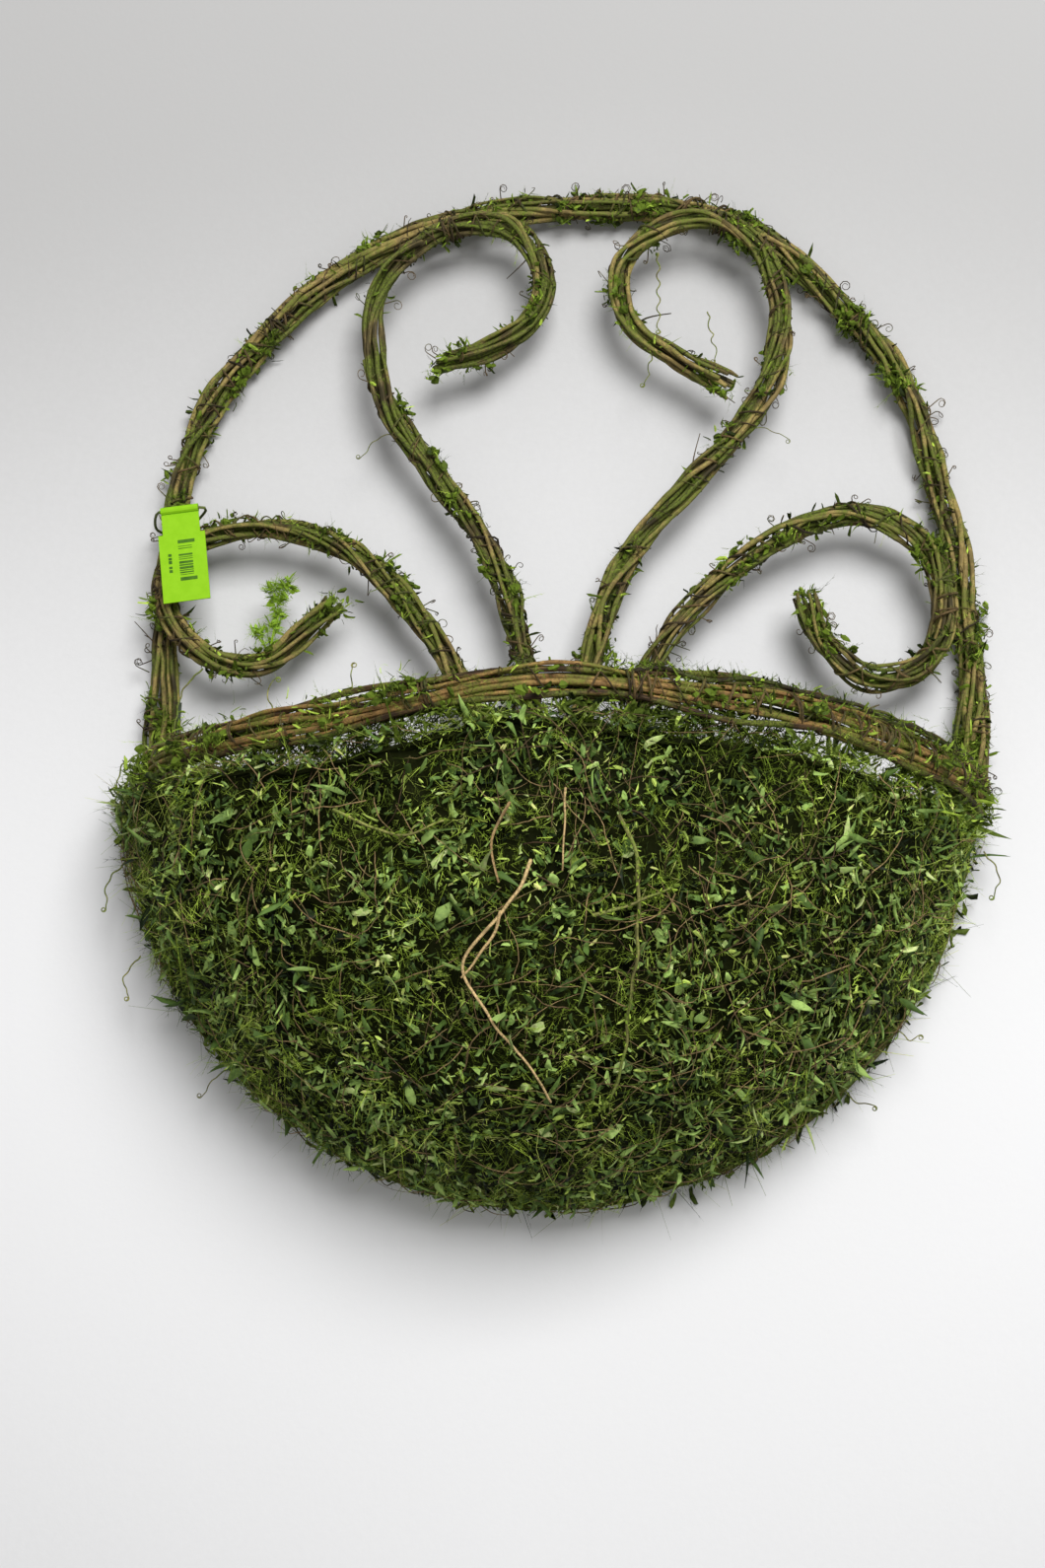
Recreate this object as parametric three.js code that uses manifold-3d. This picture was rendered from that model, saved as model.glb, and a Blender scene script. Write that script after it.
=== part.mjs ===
// A half-round wall basket: a mossy bowl on a wire frame, a bound grapevine rim, a tall grapevine
// arch behind it to hang it by, and four grapevine scrolls inside the arch.
// Millimetres, +Z up, +X to the viewer's right, +Y into the wall.
// The origin is the hanging point: the underside of the arch, midway between its feet.
import * as THREE from "three";
import Module from "manifold-3d";
import { mergeVertices } from "three/addons/utils/BufferGeometryUtils.js";

const wasm = await Module();
wasm.setup();

// ---- driving dimensions ----
const gap = 0.4; // clearance between pieces that touch
const wallY = 10; // the wall, behind the arch's middle plane
const rimLevel = -314.5; // the middle of the rim's bow, below the hanging point

const arch = { caneRadius: 2.7, canes: 5, pitch: 260, steps: 42, footX: 217 };
const scroll = { caneRadius: 3.2, canes: 3, pitch: 190, steps: 32 };
const rim = { caneRadius: 2.8, halfWidth: 217, frontY: -185, roundness: 1.8, steps: 26 };
const bowl = {
  centreX: -7, halfWidth: 229, frontY: -195, depth: 232,
  mat: 12, backMat: 11, matTop: 15.4, backTop: 22,
};
const wire = { ring: 1.5, rib: 1.3, tag: 0.8 }; // radii
const ribPlaces = [-140, -70, 0, 70, 140];
const hoopDepths = [80, 150];
const tie = { thick: 1.4, width: 3, round: 1.3, slack: 0.2 };
const tag = { width: 25.4, height: 38, neckWidth: 20.4, neckHeight: 13.6, thick: 0.8, tilt: 9, proud: 4.6 };
const tagPlace = [-209.7, 131]; // the middle of the tag's fold, as x and height

const moreGap = 0.35; // extra between the canes of one bundle, whose facets turn as they twist
const sides = 5;
const intoWall = new THREE.Vector3(0, 1, 0);
const up = new THREE.Vector3(0, 0, 1);

// The radius of the circle that the canes' centres lie on, so that neighbours just clear each other.
const bundleRadius = ({ caneRadius, canes }) =>
  (2 * caneRadius + gap + moreGap) / (2 * Math.sin(Math.PI / canes));
const outerRadius = (bundle) => bundleRadius(bundle) + bundle.caneRadius;

// ---- the planes that the pieces lie in, from the wall forwards ----
const bowlBackY = wallY - bowl.backMat - gap;
const backWireY = bowlBackY - wire.ring;
const frameBackY = backWireY - wire.ring - gap - wire.rib;
const rimBackY = -outerRadius(arch) - 1;
const scrollY = -outerRadius(arch) - outerRadius(scroll) - gap;
const ringBackY = scrollY + outerRadius(scroll) + gap + wire.ring;
const tagY = scrollY - outerRadius(scroll) - tag.proud;

// ---- centre lines, as [x, height above the middle of the rim] ----
const archLine = [
  [-217, -13], [-219, 43], [-219, 93], [-216, 150], [-205, 195], [-185, 229], [-147, 271],
  [-98, 303], [-50, 318], [0, 322], [53, 322], [94, 308], [131, 277], [161, 243],
  [184, 207], [194, 169], [206, 125], [213, 82], [218, 30], [218, -13],
];
const scrollLines = {
  outer_left: [
    [-39, -38], [-39, -4], [-44, 20], [-60, 52], [-90, 91], [-124, 116], [-160, 126], [-192, 122],
    [-212, 107], [-217, 86], [-206, 64], [-184, 50], [-159, 51], [-139, 68], [-123, 86],
  ],
  inner_left: [
    [-12, -38], [-12, 8], [-22, 58], [-38, 108], [-72, 157], [-101, 194], [-114, 237],
    [-108, 271], [-84, 295], [-58, 304], [-34, 297], [-21, 274], [-27, 248], [-50, 230], [-78, 219],
  ],
  inner_right: [
    [11, -38], [11, 14], [21, 83], [37, 121], [64, 155], [95, 195], [108, 228], [109, 261],
    [98, 291], [76, 306], [48, 305], [27, 290], [21, 271], [30, 244], [54, 227], [85, 211],
  ],
  outer_right: [
    [33, -38], [34, 4], [48, 54], [68, 88], [102, 119], [138, 138], [163, 139],
    [187, 126], [199, 101], [198, 73], [182, 54], [159, 51], [138, 68], [127, 96],
  ],
};
// The rim was bent by hand: it hangs lower at its left side than at its right.
const rimLine = [
  [-235, -18], [-190, -18], [-145, -17], [-100, -15], [-60, -8.5], [-25, -2.5], [10, 0],
  [60, 0.5], [110, -0.5], [160, -6.5], [200, -11], [235, -13],
];
// Where each scroll's curl touches the arch.
const contacts = {
  outer_left: [-217, 92],
  inner_left: [-74, 299],
  inner_right: [74, 306],
  outer_right: [199, 96],
};

// How high the rim's middle line is at a place across its width.
const rimCurve = new THREE.CatmullRomCurve3(rimLine.map(([x, height]) => new THREE.Vector3(x, height, 0)));
const rimSamples = rimCurve.getSpacedPoints(240);
function rimHeight(x) {
  const next = Math.max(1, rimSamples.findIndex((p) => p.x > x));
  const [a, b] = [rimSamples[next - 1], rimSamples[next]];
  return THREE.MathUtils.mapLinear(x, a.x, b.x, a.y, b.y);
}
// The ring's back wire runs straight from the rim's one corner to the other.
const cornerHeights = [rimHeight(-rim.halfWidth), rimHeight(rim.halfWidth)];
const backHeight = (x) => THREE.MathUtils.mapLinear(x, -rim.halfWidth, rim.halfWidth, ...cornerHeights);

// ---- materials ----
const finish = (color, roughness, metalness = 0) =>
  new THREE.MeshStandardMaterial({ color, roughness, metalness });
const bark = finish(0x6b5a30, 0.85);
const rimBark = finish(0x7a5632, 0.85);
const steel = finish(0x3c3f38, 0.5, 0.8);
const moss = finish(0x3f4a20, 1.0);
const tieVine = finish(0x3a2618, 0.9);
const greenCard = finish(0x9ade1c, 0.55);
const paperWire = finish(0x4d6a2a, 0.7);

const basket = new THREE.Group();

function add(name, geometry, material, parent = basket) {
  const mesh = new THREE.Mesh(geometry, material);
  mesh.name = name;
  parent.add(mesh);
  return mesh;
}

// ---- building blocks ----
function polygon(radius, count) {
  const corner = (i) => {
    const turn = (2 * Math.PI * i) / count;
    return new THREE.Vector2(radius * Math.cos(turn), radius * Math.sin(turn));
  };
  return new THREE.Shape(Array.from({ length: count }, (_, i) => corner(i)));
}

function tube(points, radius, steps) {
  const extrudePath = new THREE.CatmullRomCurve3(points);
  return new THREE.ExtrudeGeometry(polygon(radius, sides), { steps, extrudePath, bevelEnabled: false });
}

const upright = (line, y) =>
  new THREE.CatmullRomCurve3(line.map(([x, height]) => new THREE.Vector3(x, y, rimLevel + height)));

// A point beside an upright line: out across it, and back towards the wall.
function beside(line, share, out, back) {
  const across = line.getTangentAt(share).cross(intoWall).normalize();
  return line.getPointAt(share).addScaledVector(across, out).addScaledVector(intoWall, back);
}

// Canes that twist round each other along a line. Each starts and ends at its own place, as cut vines do.
function twistedBundle(name, line, bundle) {
  const turns = line.getLength() / bundle.pitch;
  const reach = bundleRadius(bundle);
  for (let cane = 0; cane < bundle.canes; cane++) {
    const from = 0.012 * ((cane * 2) % bundle.canes) / bundle.canes;
    const to = 1 - 0.03 * ((cane * 3) % bundle.canes) / bundle.canes;
    const points = [];
    for (let step = 0; step <= bundle.steps; step++) {
      const share = from + ((to - from) * step) / bundle.steps;
      const angle = 2 * Math.PI * (cane / bundle.canes + turns * share);
      points.push(beside(line, share, reach * Math.cos(angle), reach * Math.sin(angle)));
    }
    add(`${name}_cane_${cane + 1}`, tube(points, bundle.caneRadius, bundle.steps), bark);
  }
}

// A flat band round two bundles a distance apart: straight sides and round ends.
function bandGeometry(distance, innerRadius) {
  const outline = (radius, target) => {
    target.absarc(0, distance / 2, radius, 0, Math.PI);
    target.absarc(0, -distance / 2, radius, Math.PI, 2 * Math.PI);
    return target;
  };
  const shape = outline(innerRadius + tie.thick, new THREE.Shape());
  shape.holes.push(outline(innerRadius, new THREE.Path()));
  const settings = { depth: tie.width, curveSegments: 4, bevelEnabled: false };
  return new THREE.ExtrudeGeometry(shape, settings).translate(0, 0, -tie.width / 2);
}

// Puts a band so that its middle is between two points, and the bundles' direction goes through it.
function band(name, first, second, direction, innerRadius) {
  const between = second.clone().sub(first);
  const mesh = add(name, bandGeometry(between.length(), innerRadius), tieVine);
  const along = direction.clone().normalize();
  const stacked = between.addScaledVector(along, -between.dot(along)).normalize();
  const across = new THREE.Vector3().crossVectors(stacked, along);
  mesh.quaternion.setFromRotationMatrix(new THREE.Matrix4().makeBasis(across, stacked, along));
  mesh.position.copy(first).add(second).multiplyScalar(0.5);
}

// The share of a line's length at which it comes nearest to a point.
function nearestShare(line, target, tries = 600) {
  let best = 0;
  for (let i = 0; i <= tries; i++) {
    const nearer = line.getPointAt(i / tries).distanceTo(target) < line.getPointAt(best).distanceTo(target);
    if (nearer) best = i / tries;
  }
  return best;
}

// ---- the arch and its ties ----
const archCurve = upright(archLine, 0);
twistedBundle("arch", archCurve, arch);
for (const [side, share] of [["left", 0.3], ["top", 0.53], ["right", 0.7]]) {
  const place = archCurve.getPointAt(share);
  const behind = place.clone().addScaledVector(intoWall, tie.slack);
  band(`arch_tie_${side}`, place, behind, archCurve.getTangentAt(share), outerRadius(arch) + gap);
}

// ---- the scrolls, each bound to the front of the arch and at its foot to the ring's back wire ----
for (const [side, line] of Object.entries(scrollLines)) {
  const curve = upright(line, scrollY);
  twistedBundle(`scroll_${side}`, curve, scroll);
  const [x, height] = contacts[side];
  const contact = new THREE.Vector3(x, scrollY, rimLevel + height);
  const onScroll = curve.getPointAt(nearestShare(curve, contact));
  const share = nearestShare(archCurve, onScroll);
  const onArch = archCurve.getPointAt(share);
  band(`scroll_tie_${side}`, onArch, onScroll, archCurve.getTangentAt(share), outerRadius(arch) + gap + 0.3);
  add(`foot_tie_${side}`, footTie(curve), tieVine);
}

// A loop that crosses the scroll's foot and the ring's back wire at 45 degrees and holds both.
function footTie(curve) {
  const { x } = curve.getPointAt(0);
  const level = rimLevel + backHeight(x);
  const foot = curve.getPointAt(nearestShare(curve, new THREE.Vector3(x, scrollY, level)));
  const front = scrollY - outerRadius(scroll) - gap - tie.round;
  const back = ringBackY + wire.ring + gap + tie.round;
  const loop = new THREE.TorusGeometry((back - front) / 2, tie.round, sides, 16);
  loop.scale(1.34, 1, 1); // wider than deep, because the foot crosses it at 45 degrees
  return loop.rotateY(Math.PI / 4).translate(foot.x, (front + back) / 2, level);
}

// ---- the rim: five canes laid side by side along the front bow ----
// The rim's plan is a full round curve.
function bow(inset, lift, count = 28) {
  const points = [];
  for (let i = 0; i <= count; i++) {
    const turn = Math.PI * (1 - i / count);
    const bulge = Math.sin(turn) ** (2 / rim.roundness);
    const spread = Math.sign(Math.cos(turn)) * Math.abs(Math.cos(turn)) ** (2 / rim.roundness);
    const x = (rim.halfWidth - inset) * spread;
    const y = rimBackY - (rimBackY - rim.frontY - inset) * bulge;
    points.push(new THREE.Vector3(x, y, rimLevel + rimHeight(x) + lift));
  }
  return points;
}

const column = rim.caneRadius + gap / 2;
const frontRows = [-2, 0, 2].map((row) => [-column, row * column]);
const backRows = [-1, 1].map((row) => [column, row * column]);
[...frontRows, ...backRows].forEach(([inset, lift], i) => {
  add(`rim_cane_${i + 1}`, tube(bow(inset, lift), rim.caneRadius, rim.steps), rimBark);
});

const ringInset = column + rim.caneRadius + gap + 0.2 + wire.ring;
const bowWire = new THREE.CatmullRomCurve3(bow(ringInset, 0, 40));
[0.2, 0.42, 0.58, 0.8].forEach((share, i) => {
  const along = bowWire.getTangentAt(share);
  const outward = along.clone().cross(up).normalize();
  const reach = (ringInset + wire.ring + column + rim.caneRadius) / 2; // half the depth of canes and wire
  const middle = bowWire.getPointAt(share).addScaledVector(outward, reach - wire.ring);
  const top = middle.clone().addScaledVector(up, 1.8 * column);
  const bottom = middle.clone().addScaledVector(up, -1.8 * column);
  band(`rim_tie_${i + 1}`, top, bottom, along, reach + gap + 0.1);
});

// ---- the wire frame inside the bowl ----
// The ring: the front bow's core wire, closed by a straight wire across the back.
const ringEnd = bowWire.points.length - 1;
const ringPoints = bowWire.points.slice(1, ringEnd).map((p) => p.clone());
const ringHalf = rim.halfWidth - ringInset;
const seam = 1.2; // half the cut where the ring's two ends meet
const atRingBack = (x) => new THREE.Vector3(x, ringBackY, rimLevel + backHeight(x));
const rightHalf = [ringHalf - 4, 180, 120, 60, seam];
const leftHalf = rightHalf.map((x) => -x).reverse();
const ringRoute = [...leftHalf.map(atRingBack), ...ringPoints, ...rightHalf.map(atRingBack)];
add("rim_ring_wire", tube(ringRoute, wire.ring, 56), steel);

// The back wire: two prongs lashed to the arch's feet, joined by a round loop down the back.
const prongX = arch.footX - outerRadius(arch) - gap - wire.ring;
const backDepth = bowl.depth - bowl.mat - 11;
const prongTop = 30;
const atBack = (x, height) => new THREE.Vector3(x, backWireY, rimLevel + height);
const backWire = [atBack(-prongX, prongTop), atBack(-prongX, 0)];
for (let i = 1; i < 16; i++) {
  const turn = (Math.PI * i) / 16;
  backWire.push(atBack(bowl.centreX * Math.sin(turn) - prongX * Math.cos(turn), -backDepth * Math.sin(turn)));
}
backWire.push(atBack(prongX, 0), atBack(prongX, prongTop));
add("back_wire", tube(backWire, wire.ring, 30), steel);

for (const [side, sign] of [["left", -1], ["right", 1]]) {
  const foot = new THREE.Vector3(sign * arch.footX, 0, rimLevel + 24);
  const onArch = archCurve.getPointAt(nearestShare(archCurve, foot));
  const onWire = new THREE.Vector3(sign * (prongX - 1.3), backWireY, onArch.z);
  const lash = onArch.clone().lerp(onWire, 0.38);
  band(`arch_foot_lash_${side}`, onArch, lash, up, outerRadius(arch) + gap + 0.2);
}

// The bowl's section at a depth below the corners, taken in by an inset: its share of the full
// section, and half its width.
function bowlSection(inset, below) {
  const share = Math.sqrt(Math.max(0, 1 - (below / (bowl.depth - inset)) ** 2));
  return { share, halfWidth: (bowl.halfWidth - inset) * share };
}

// Ribs lie in upright planes from under the ring to in front of the back wire.
const ribInset = bowl.mat + 6.2;
ribPlaces.forEach((x, i) => {
  const across = Math.abs(x - bowl.centreX) / (bowl.halfWidth - ribInset);
  const frontReach = bowlBackY - bowl.frontY - ribInset;
  const lowest = (bowl.depth - ribInset) * Math.sqrt(1 - across ** 2);
  const nearer = (a, b) => (Math.abs(b.x - x) < Math.abs(a.x - x) ? b : a);
  const ring = bow(ringInset, 0, 80).reduce(nearer);
  const points = [2.5, 11].map((below) => new THREE.Vector3(x, ring.y, ring.z - below));
  const top = rimLevel - ring.z + 24;
  for (let step = 0; step <= 12; step++) {
    const below = top + (lowest * 0.999 - top) * Math.sin((step / 12) * (Math.PI / 2));
    const { share } = bowlSection(ribInset, below);
    const left = Math.max(0, share ** rim.roundness - across ** rim.roundness);
    const y = Math.min(frameBackY, bowlBackY - frontReach * left ** (1 / rim.roundness));
    points.push(new THREE.Vector3(x, y, rimLevel - below));
  }
  add(`rib_wire_${i + 1}`, tube(points, wire.rib, 13), steel);
});

// Hoops run level round the outside of the ribs.
const hoopInset = ribInset - 2 * wire.rib - gap - 0.3;
hoopDepths.forEach((below, i) => {
  const { share, halfWidth } = bowlSection(hoopInset, below);
  const reach = (bowlBackY - bowl.frontY - hoopInset) * share;
  const points = [];
  for (let step = 0; step <= 24; step++) {
    const turn = 0.035 + (Math.PI - 0.07) * (step / 24);
    const spread = Math.sign(Math.cos(turn)) * Math.abs(Math.cos(turn)) ** (2 / rim.roundness);
    const y = Math.min(frameBackY, bowlBackY - reach * Math.sin(turn) ** (2 / rim.roundness));
    points.push(new THREE.Vector3(bowl.centreX - halfWidth * spread, y, rimLevel - below));
  }
  add(`hoop_wire_${i + 1}`, tube(points, wire.rib, 22), steel);
});

// ---- the moss mats, which stop just under the rim's canes ----
function closedMesh(positions, triangles) {
  const geometry = new THREE.BufferGeometry();
  geometry.setAttribute("position", new THREE.Float32BufferAttribute(positions, 3));
  geometry.setIndex(triangles);
  return geometry;
}

// The front mat: a thick curved wall, open at the top and at the back.
function frontMat() {
  const around = 20;
  const down = 9;
  const positions = [];
  const triangles = [];
  const skin = (inset) => {
    const first = positions.length / 3;
    for (let row = 0; row < down; row++) {
      for (let i = 0; i <= around; i++) {
        const turn = Math.PI * (1 - i / around);
        const spread = Math.sign(Math.cos(turn)) * Math.abs(Math.cos(turn)) ** (2 / rim.roundness);
        const top = bowl.matTop - rimHeight(bowl.centreX + bowl.halfWidth * spread);
        const below = top + (bowl.depth - inset - top) * Math.sin((row / down) * (Math.PI / 2));
        const { share, halfWidth } = bowlSection(inset, below);
        const reach = (bowlBackY - bowl.frontY - inset) * share;
        positions.push(bowl.centreX + halfWidth * spread,
          bowlBackY - reach * Math.abs(Math.sin(turn)) ** (2 / rim.roundness), rimLevel - below);
      }
    }
    positions.push(bowl.centreX, bowlBackY, rimLevel - bowl.depth + inset);
    return first;
  };
  const outer = skin(0);
  const inner = skin(bowl.mat);
  const at = (first, row, i) => (row === down ? first + down * (around + 1) : first + row * (around + 1) + i);
  // At the pole two of a face's corners are one, and such a face is left out.
  const face = (...corners) => {
    if (new Set(corners).size === 3) triangles.push(...corners);
  };
  for (let row = 0; row < down; row++) {
    for (let i = 0; i < around; i++) {
      for (const first of [outer, inner]) {
        const [a, b] = [at(first, row, i), at(first, row + 1, i)];
        const [c, d] = [at(first, row + 1, i + 1), at(first, row, i + 1)];
        face(...(first === outer ? [a, b, c] : [a, c, b]));
        face(...(first === outer ? [a, c, d] : [a, d, c]));
      }
    }
    for (const [i, leftEnd] of [[0, true], [around, false]]) {
      const [a, b] = [at(outer, row, i), at(outer, row + 1, i)];
      const [c, d] = [at(inner, row + 1, i), at(inner, row, i)];
      face(...(leftEnd ? [a, c, b] : [a, b, c]));
      face(...(leftEnd ? [a, d, c] : [a, c, d]));
    }
  }
  for (let i = 0; i < around; i++) {
    const [a, b] = [at(outer, 0, i), at(outer, 0, i + 1)];
    const [c, d] = [at(inner, 0, i + 1), at(inner, 0, i)];
    face(a, b, c);
    face(a, c, d);
  }
  return closedMesh(positions, triangles);
}
add("moss_front_mat", frontMat(), moss);

// The back mat: a flat half-round pad against the wall.
function backMat() {
  const first = Math.asin(bowl.backTop / bowl.depth);
  const outline = new THREE.Shape();
  outline.absellipse(bowl.centreX, 0, bowl.halfWidth, bowl.depth, Math.PI + first, -first);
  const settings = { depth: bowl.backMat, curveSegments: 13, bevelEnabled: false };
  const pad = new THREE.ExtrudeGeometry(outline, settings);
  return pad.rotateX(Math.PI / 2).translate(0, wallY, rimLevel);
}
add("moss_back_mat", backMat(), moss);

// ---- the tag and the twist tie that it hangs from ----
const tagHinge = new THREE.Group();
tagHinge.position.set(tagPlace[0], tagY, rimLevel + tagPlace[1]);
tagHinge.rotation.y = THREE.MathUtils.degToRad(-tag.tilt);
basket.add(tagHinge);

function solid(geometry) {
  geometry.deleteAttribute("normal");
  geometry.deleteAttribute("uv");
  const merged = mergeVertices(geometry, 1e-4);
  return new wasm.Manifold(new wasm.Mesh({
    numProp: 3,
    vertProperties: new Float32Array(merged.attributes.position.array),
    triVerts: new Uint32Array(merged.index.array),
  }));
}

function fromSolid(made) {
  const { vertProperties, triVerts } = made.getMesh();
  return closedMesh(Array.from(vertProperties), Array.from(triVerts));
}

function foldedTag() {
  const foldInner = wire.tag + 0.6;
  const foldOuter = foldInner + tag.thick;
  const card = new THREE.Shape();
  const half = tag.width / 2;
  const neck = tag.neckWidth / 2;
  const low = -tag.neckHeight - tag.height;
  card.moveTo(-half, low).lineTo(half, low).lineTo(half, -tag.neckHeight).lineTo(neck, -tag.neckHeight);
  card.lineTo(neck, -foldInner - tag.thick / 2).lineTo(-neck, -foldInner - tag.thick / 2);
  card.lineTo(-neck, -tag.neckHeight).lineTo(-half, -tag.neckHeight);
  const sheet = new THREE.ExtrudeGeometry(card, { depth: tag.thick, bevelEnabled: false });
  sheet.rotateX(Math.PI / 2).translate(0, tag.thick / 2, 0);
  const roll = new THREE.CylinderGeometry(foldOuter, foldOuter, tag.neckWidth, 12).rotateZ(Math.PI / 2);
  const bore = new THREE.CylinderGeometry(foldInner, foldInner, tag.neckWidth + 2, 12).rotateZ(Math.PI / 2);
  return fromSolid(solid(sheet).add(solid(roll)).subtract(solid(bore)));
}
add("price_tag", foldedTag(), greenCard, tagHinge);

// The tie: a stiff wire loop round the arch, open where its ends meet behind.
function twistTie() {
  const backY = -tagY + outerRadius(arch) + gap + wire.tag;
  const archX = -arch.footX - 1.4 - tagHinge.position.x;
  const side = outerRadius(arch) + gap + wire.tag + 0.6;
  const route = [
    [archX + 1, backY], [archX + side - 2.5, backY - 2.2], [archX + side, backY - 8], [13.6, 3.4],
    [11, 0], [4, 0], [-4, 0], [-11, 0], [-13.8, 4],
    [archX - side, backY - 9], [archX - side + 2.5, backY - 2.2], [archX - 1, backY],
  ];
  return tube(route.map(([x, y]) => new THREE.Vector3(x, y, 0)), wire.tag, 26);
}
add("tag_twist_tie", twistTie(), paperWire, tagHinge);

export default basket;
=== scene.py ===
import math

import bpy
import numpy as np
from mathutils import Matrix, Vector
from mathutils.bvhtree import BVHTree


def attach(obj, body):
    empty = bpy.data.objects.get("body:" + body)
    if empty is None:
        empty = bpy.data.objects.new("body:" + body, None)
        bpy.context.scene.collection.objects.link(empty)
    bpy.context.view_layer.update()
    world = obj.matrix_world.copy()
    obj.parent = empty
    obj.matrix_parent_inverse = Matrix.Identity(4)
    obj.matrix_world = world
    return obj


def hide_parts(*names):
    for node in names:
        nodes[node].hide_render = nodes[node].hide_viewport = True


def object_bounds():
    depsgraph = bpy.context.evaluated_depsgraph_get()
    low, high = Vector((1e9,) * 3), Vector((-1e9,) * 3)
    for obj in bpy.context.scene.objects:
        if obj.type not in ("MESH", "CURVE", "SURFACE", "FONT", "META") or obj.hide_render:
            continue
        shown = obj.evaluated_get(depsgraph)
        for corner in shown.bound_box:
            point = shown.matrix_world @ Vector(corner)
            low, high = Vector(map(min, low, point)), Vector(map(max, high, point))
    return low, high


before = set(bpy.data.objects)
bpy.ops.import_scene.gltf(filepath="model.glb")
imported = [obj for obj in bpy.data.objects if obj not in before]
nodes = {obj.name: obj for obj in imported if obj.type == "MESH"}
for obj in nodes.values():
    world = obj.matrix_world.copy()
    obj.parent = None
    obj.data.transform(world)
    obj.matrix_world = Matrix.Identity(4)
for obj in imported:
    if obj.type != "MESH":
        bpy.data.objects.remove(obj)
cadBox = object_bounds()
print("frame loaded,", len(nodes), "nodes")

# places shared by several pieces, in metres
mm = 0.001
rimZ = -0.3145            # the middle of the rim's bow
scrollY = -0.01566        # the scrolls' middle plane, in front of the arch's
rimBackY = -0.00893
wallY = 0.0102            # nothing goes further back than this
frontY = cadBox[0][1] - 0.014
bowlCore = Vector((-0.007, -0.045, -0.385))


def deselectAll():
    if bpy.context.object and bpy.context.object.mode != "OBJECT":
        bpy.ops.object.mode_set(mode="OBJECT")
    bpy.ops.object.select_all(action="DESELECT")


# lines, tubes and pieces

def sample(distances, run, rows):
    # the rows at the given distances along a line
    return np.column_stack([np.interp(distances, run, rows[:, k]) for k in range(3)])


def smoothTrack(points, step):
    # a smooth line through the points, with its points at an even spacing
    p = np.array(points, float)
    p = np.vstack([2 * p[0] - p[1], p, 2 * p[-1] - p[-2]])
    t = np.linspace(0, 1, 24, endpoint=False)[:, None]
    spans = []
    for a, b, c, d in zip(p, p[1:], p[2:], p[3:]):
        spans.append(0.5 * (2 * b + (c - a) * t + (2 * a - 5 * b + 4 * c - d) * t ** 2
                            + (3 * b - a - 3 * c + d) * t ** 3))
    line = np.vstack(spans + [p[-2:-1]])
    run = runLength(line)
    return sample(np.linspace(0, run[-1], max(4, int(run[-1] / step) + 1)), run, line)


def runLength(line):
    return np.concatenate([[0], np.cumsum(np.linalg.norm(np.diff(line, axis=0), axis=1))])


def unit(v):
    return v / np.maximum(np.linalg.norm(v, axis=-1, keepdims=True), 1e-9)


def crossFrame(line, outward):
    # the direction outward and the one beside it, square to the line at each of its points
    along = unit(np.gradient(line, axis=0))
    out = unit(outward - (outward * along).sum(1, keepdims=True) * along)
    return along, out, np.cross(along, out)


def around(turn, out, side):
    # the direction at each turn round a line
    return np.cos(turn)[:, None] * out + np.sin(turn)[:, None] * side


def drift(rng, run, wave, size):
    # a slow random wander along a line
    total = np.zeros_like(run)
    for _ in range(4):
        length = wave * rng.uniform(0.5, 1.8)
        total += rng.uniform(0.4, 1) * np.sin(run / length * 2 * np.pi + rng.uniform(0, 6.28))
    return size * total / 1.6


def wobble(rng, run, wave, size):
    # a slow random wander in all three directions
    return np.column_stack([drift(rng, run, wave, size) for _ in range(3)])


def jointed(rng, run, joints):
    # how a vine's thickness varies along it, with swollen joints
    phase = np.abs((run / rng.uniform(*joints["apart"]) + rng.uniform(0, 1)) % 1 - 0.5) * 2
    return (1 + drift(rng, run, joints["wave"], joints["uneven"])
            + joints["swell"] * np.exp(-((1 - phase) * 14) ** 2))


def tones(rng, middle, spread, count, top=1.0):
    # a random tone for each leaf or fibre: 0 is deep shade and 1 is straw
    return np.clip(rng.normal(middle, spread, count), 0, top)


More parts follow.
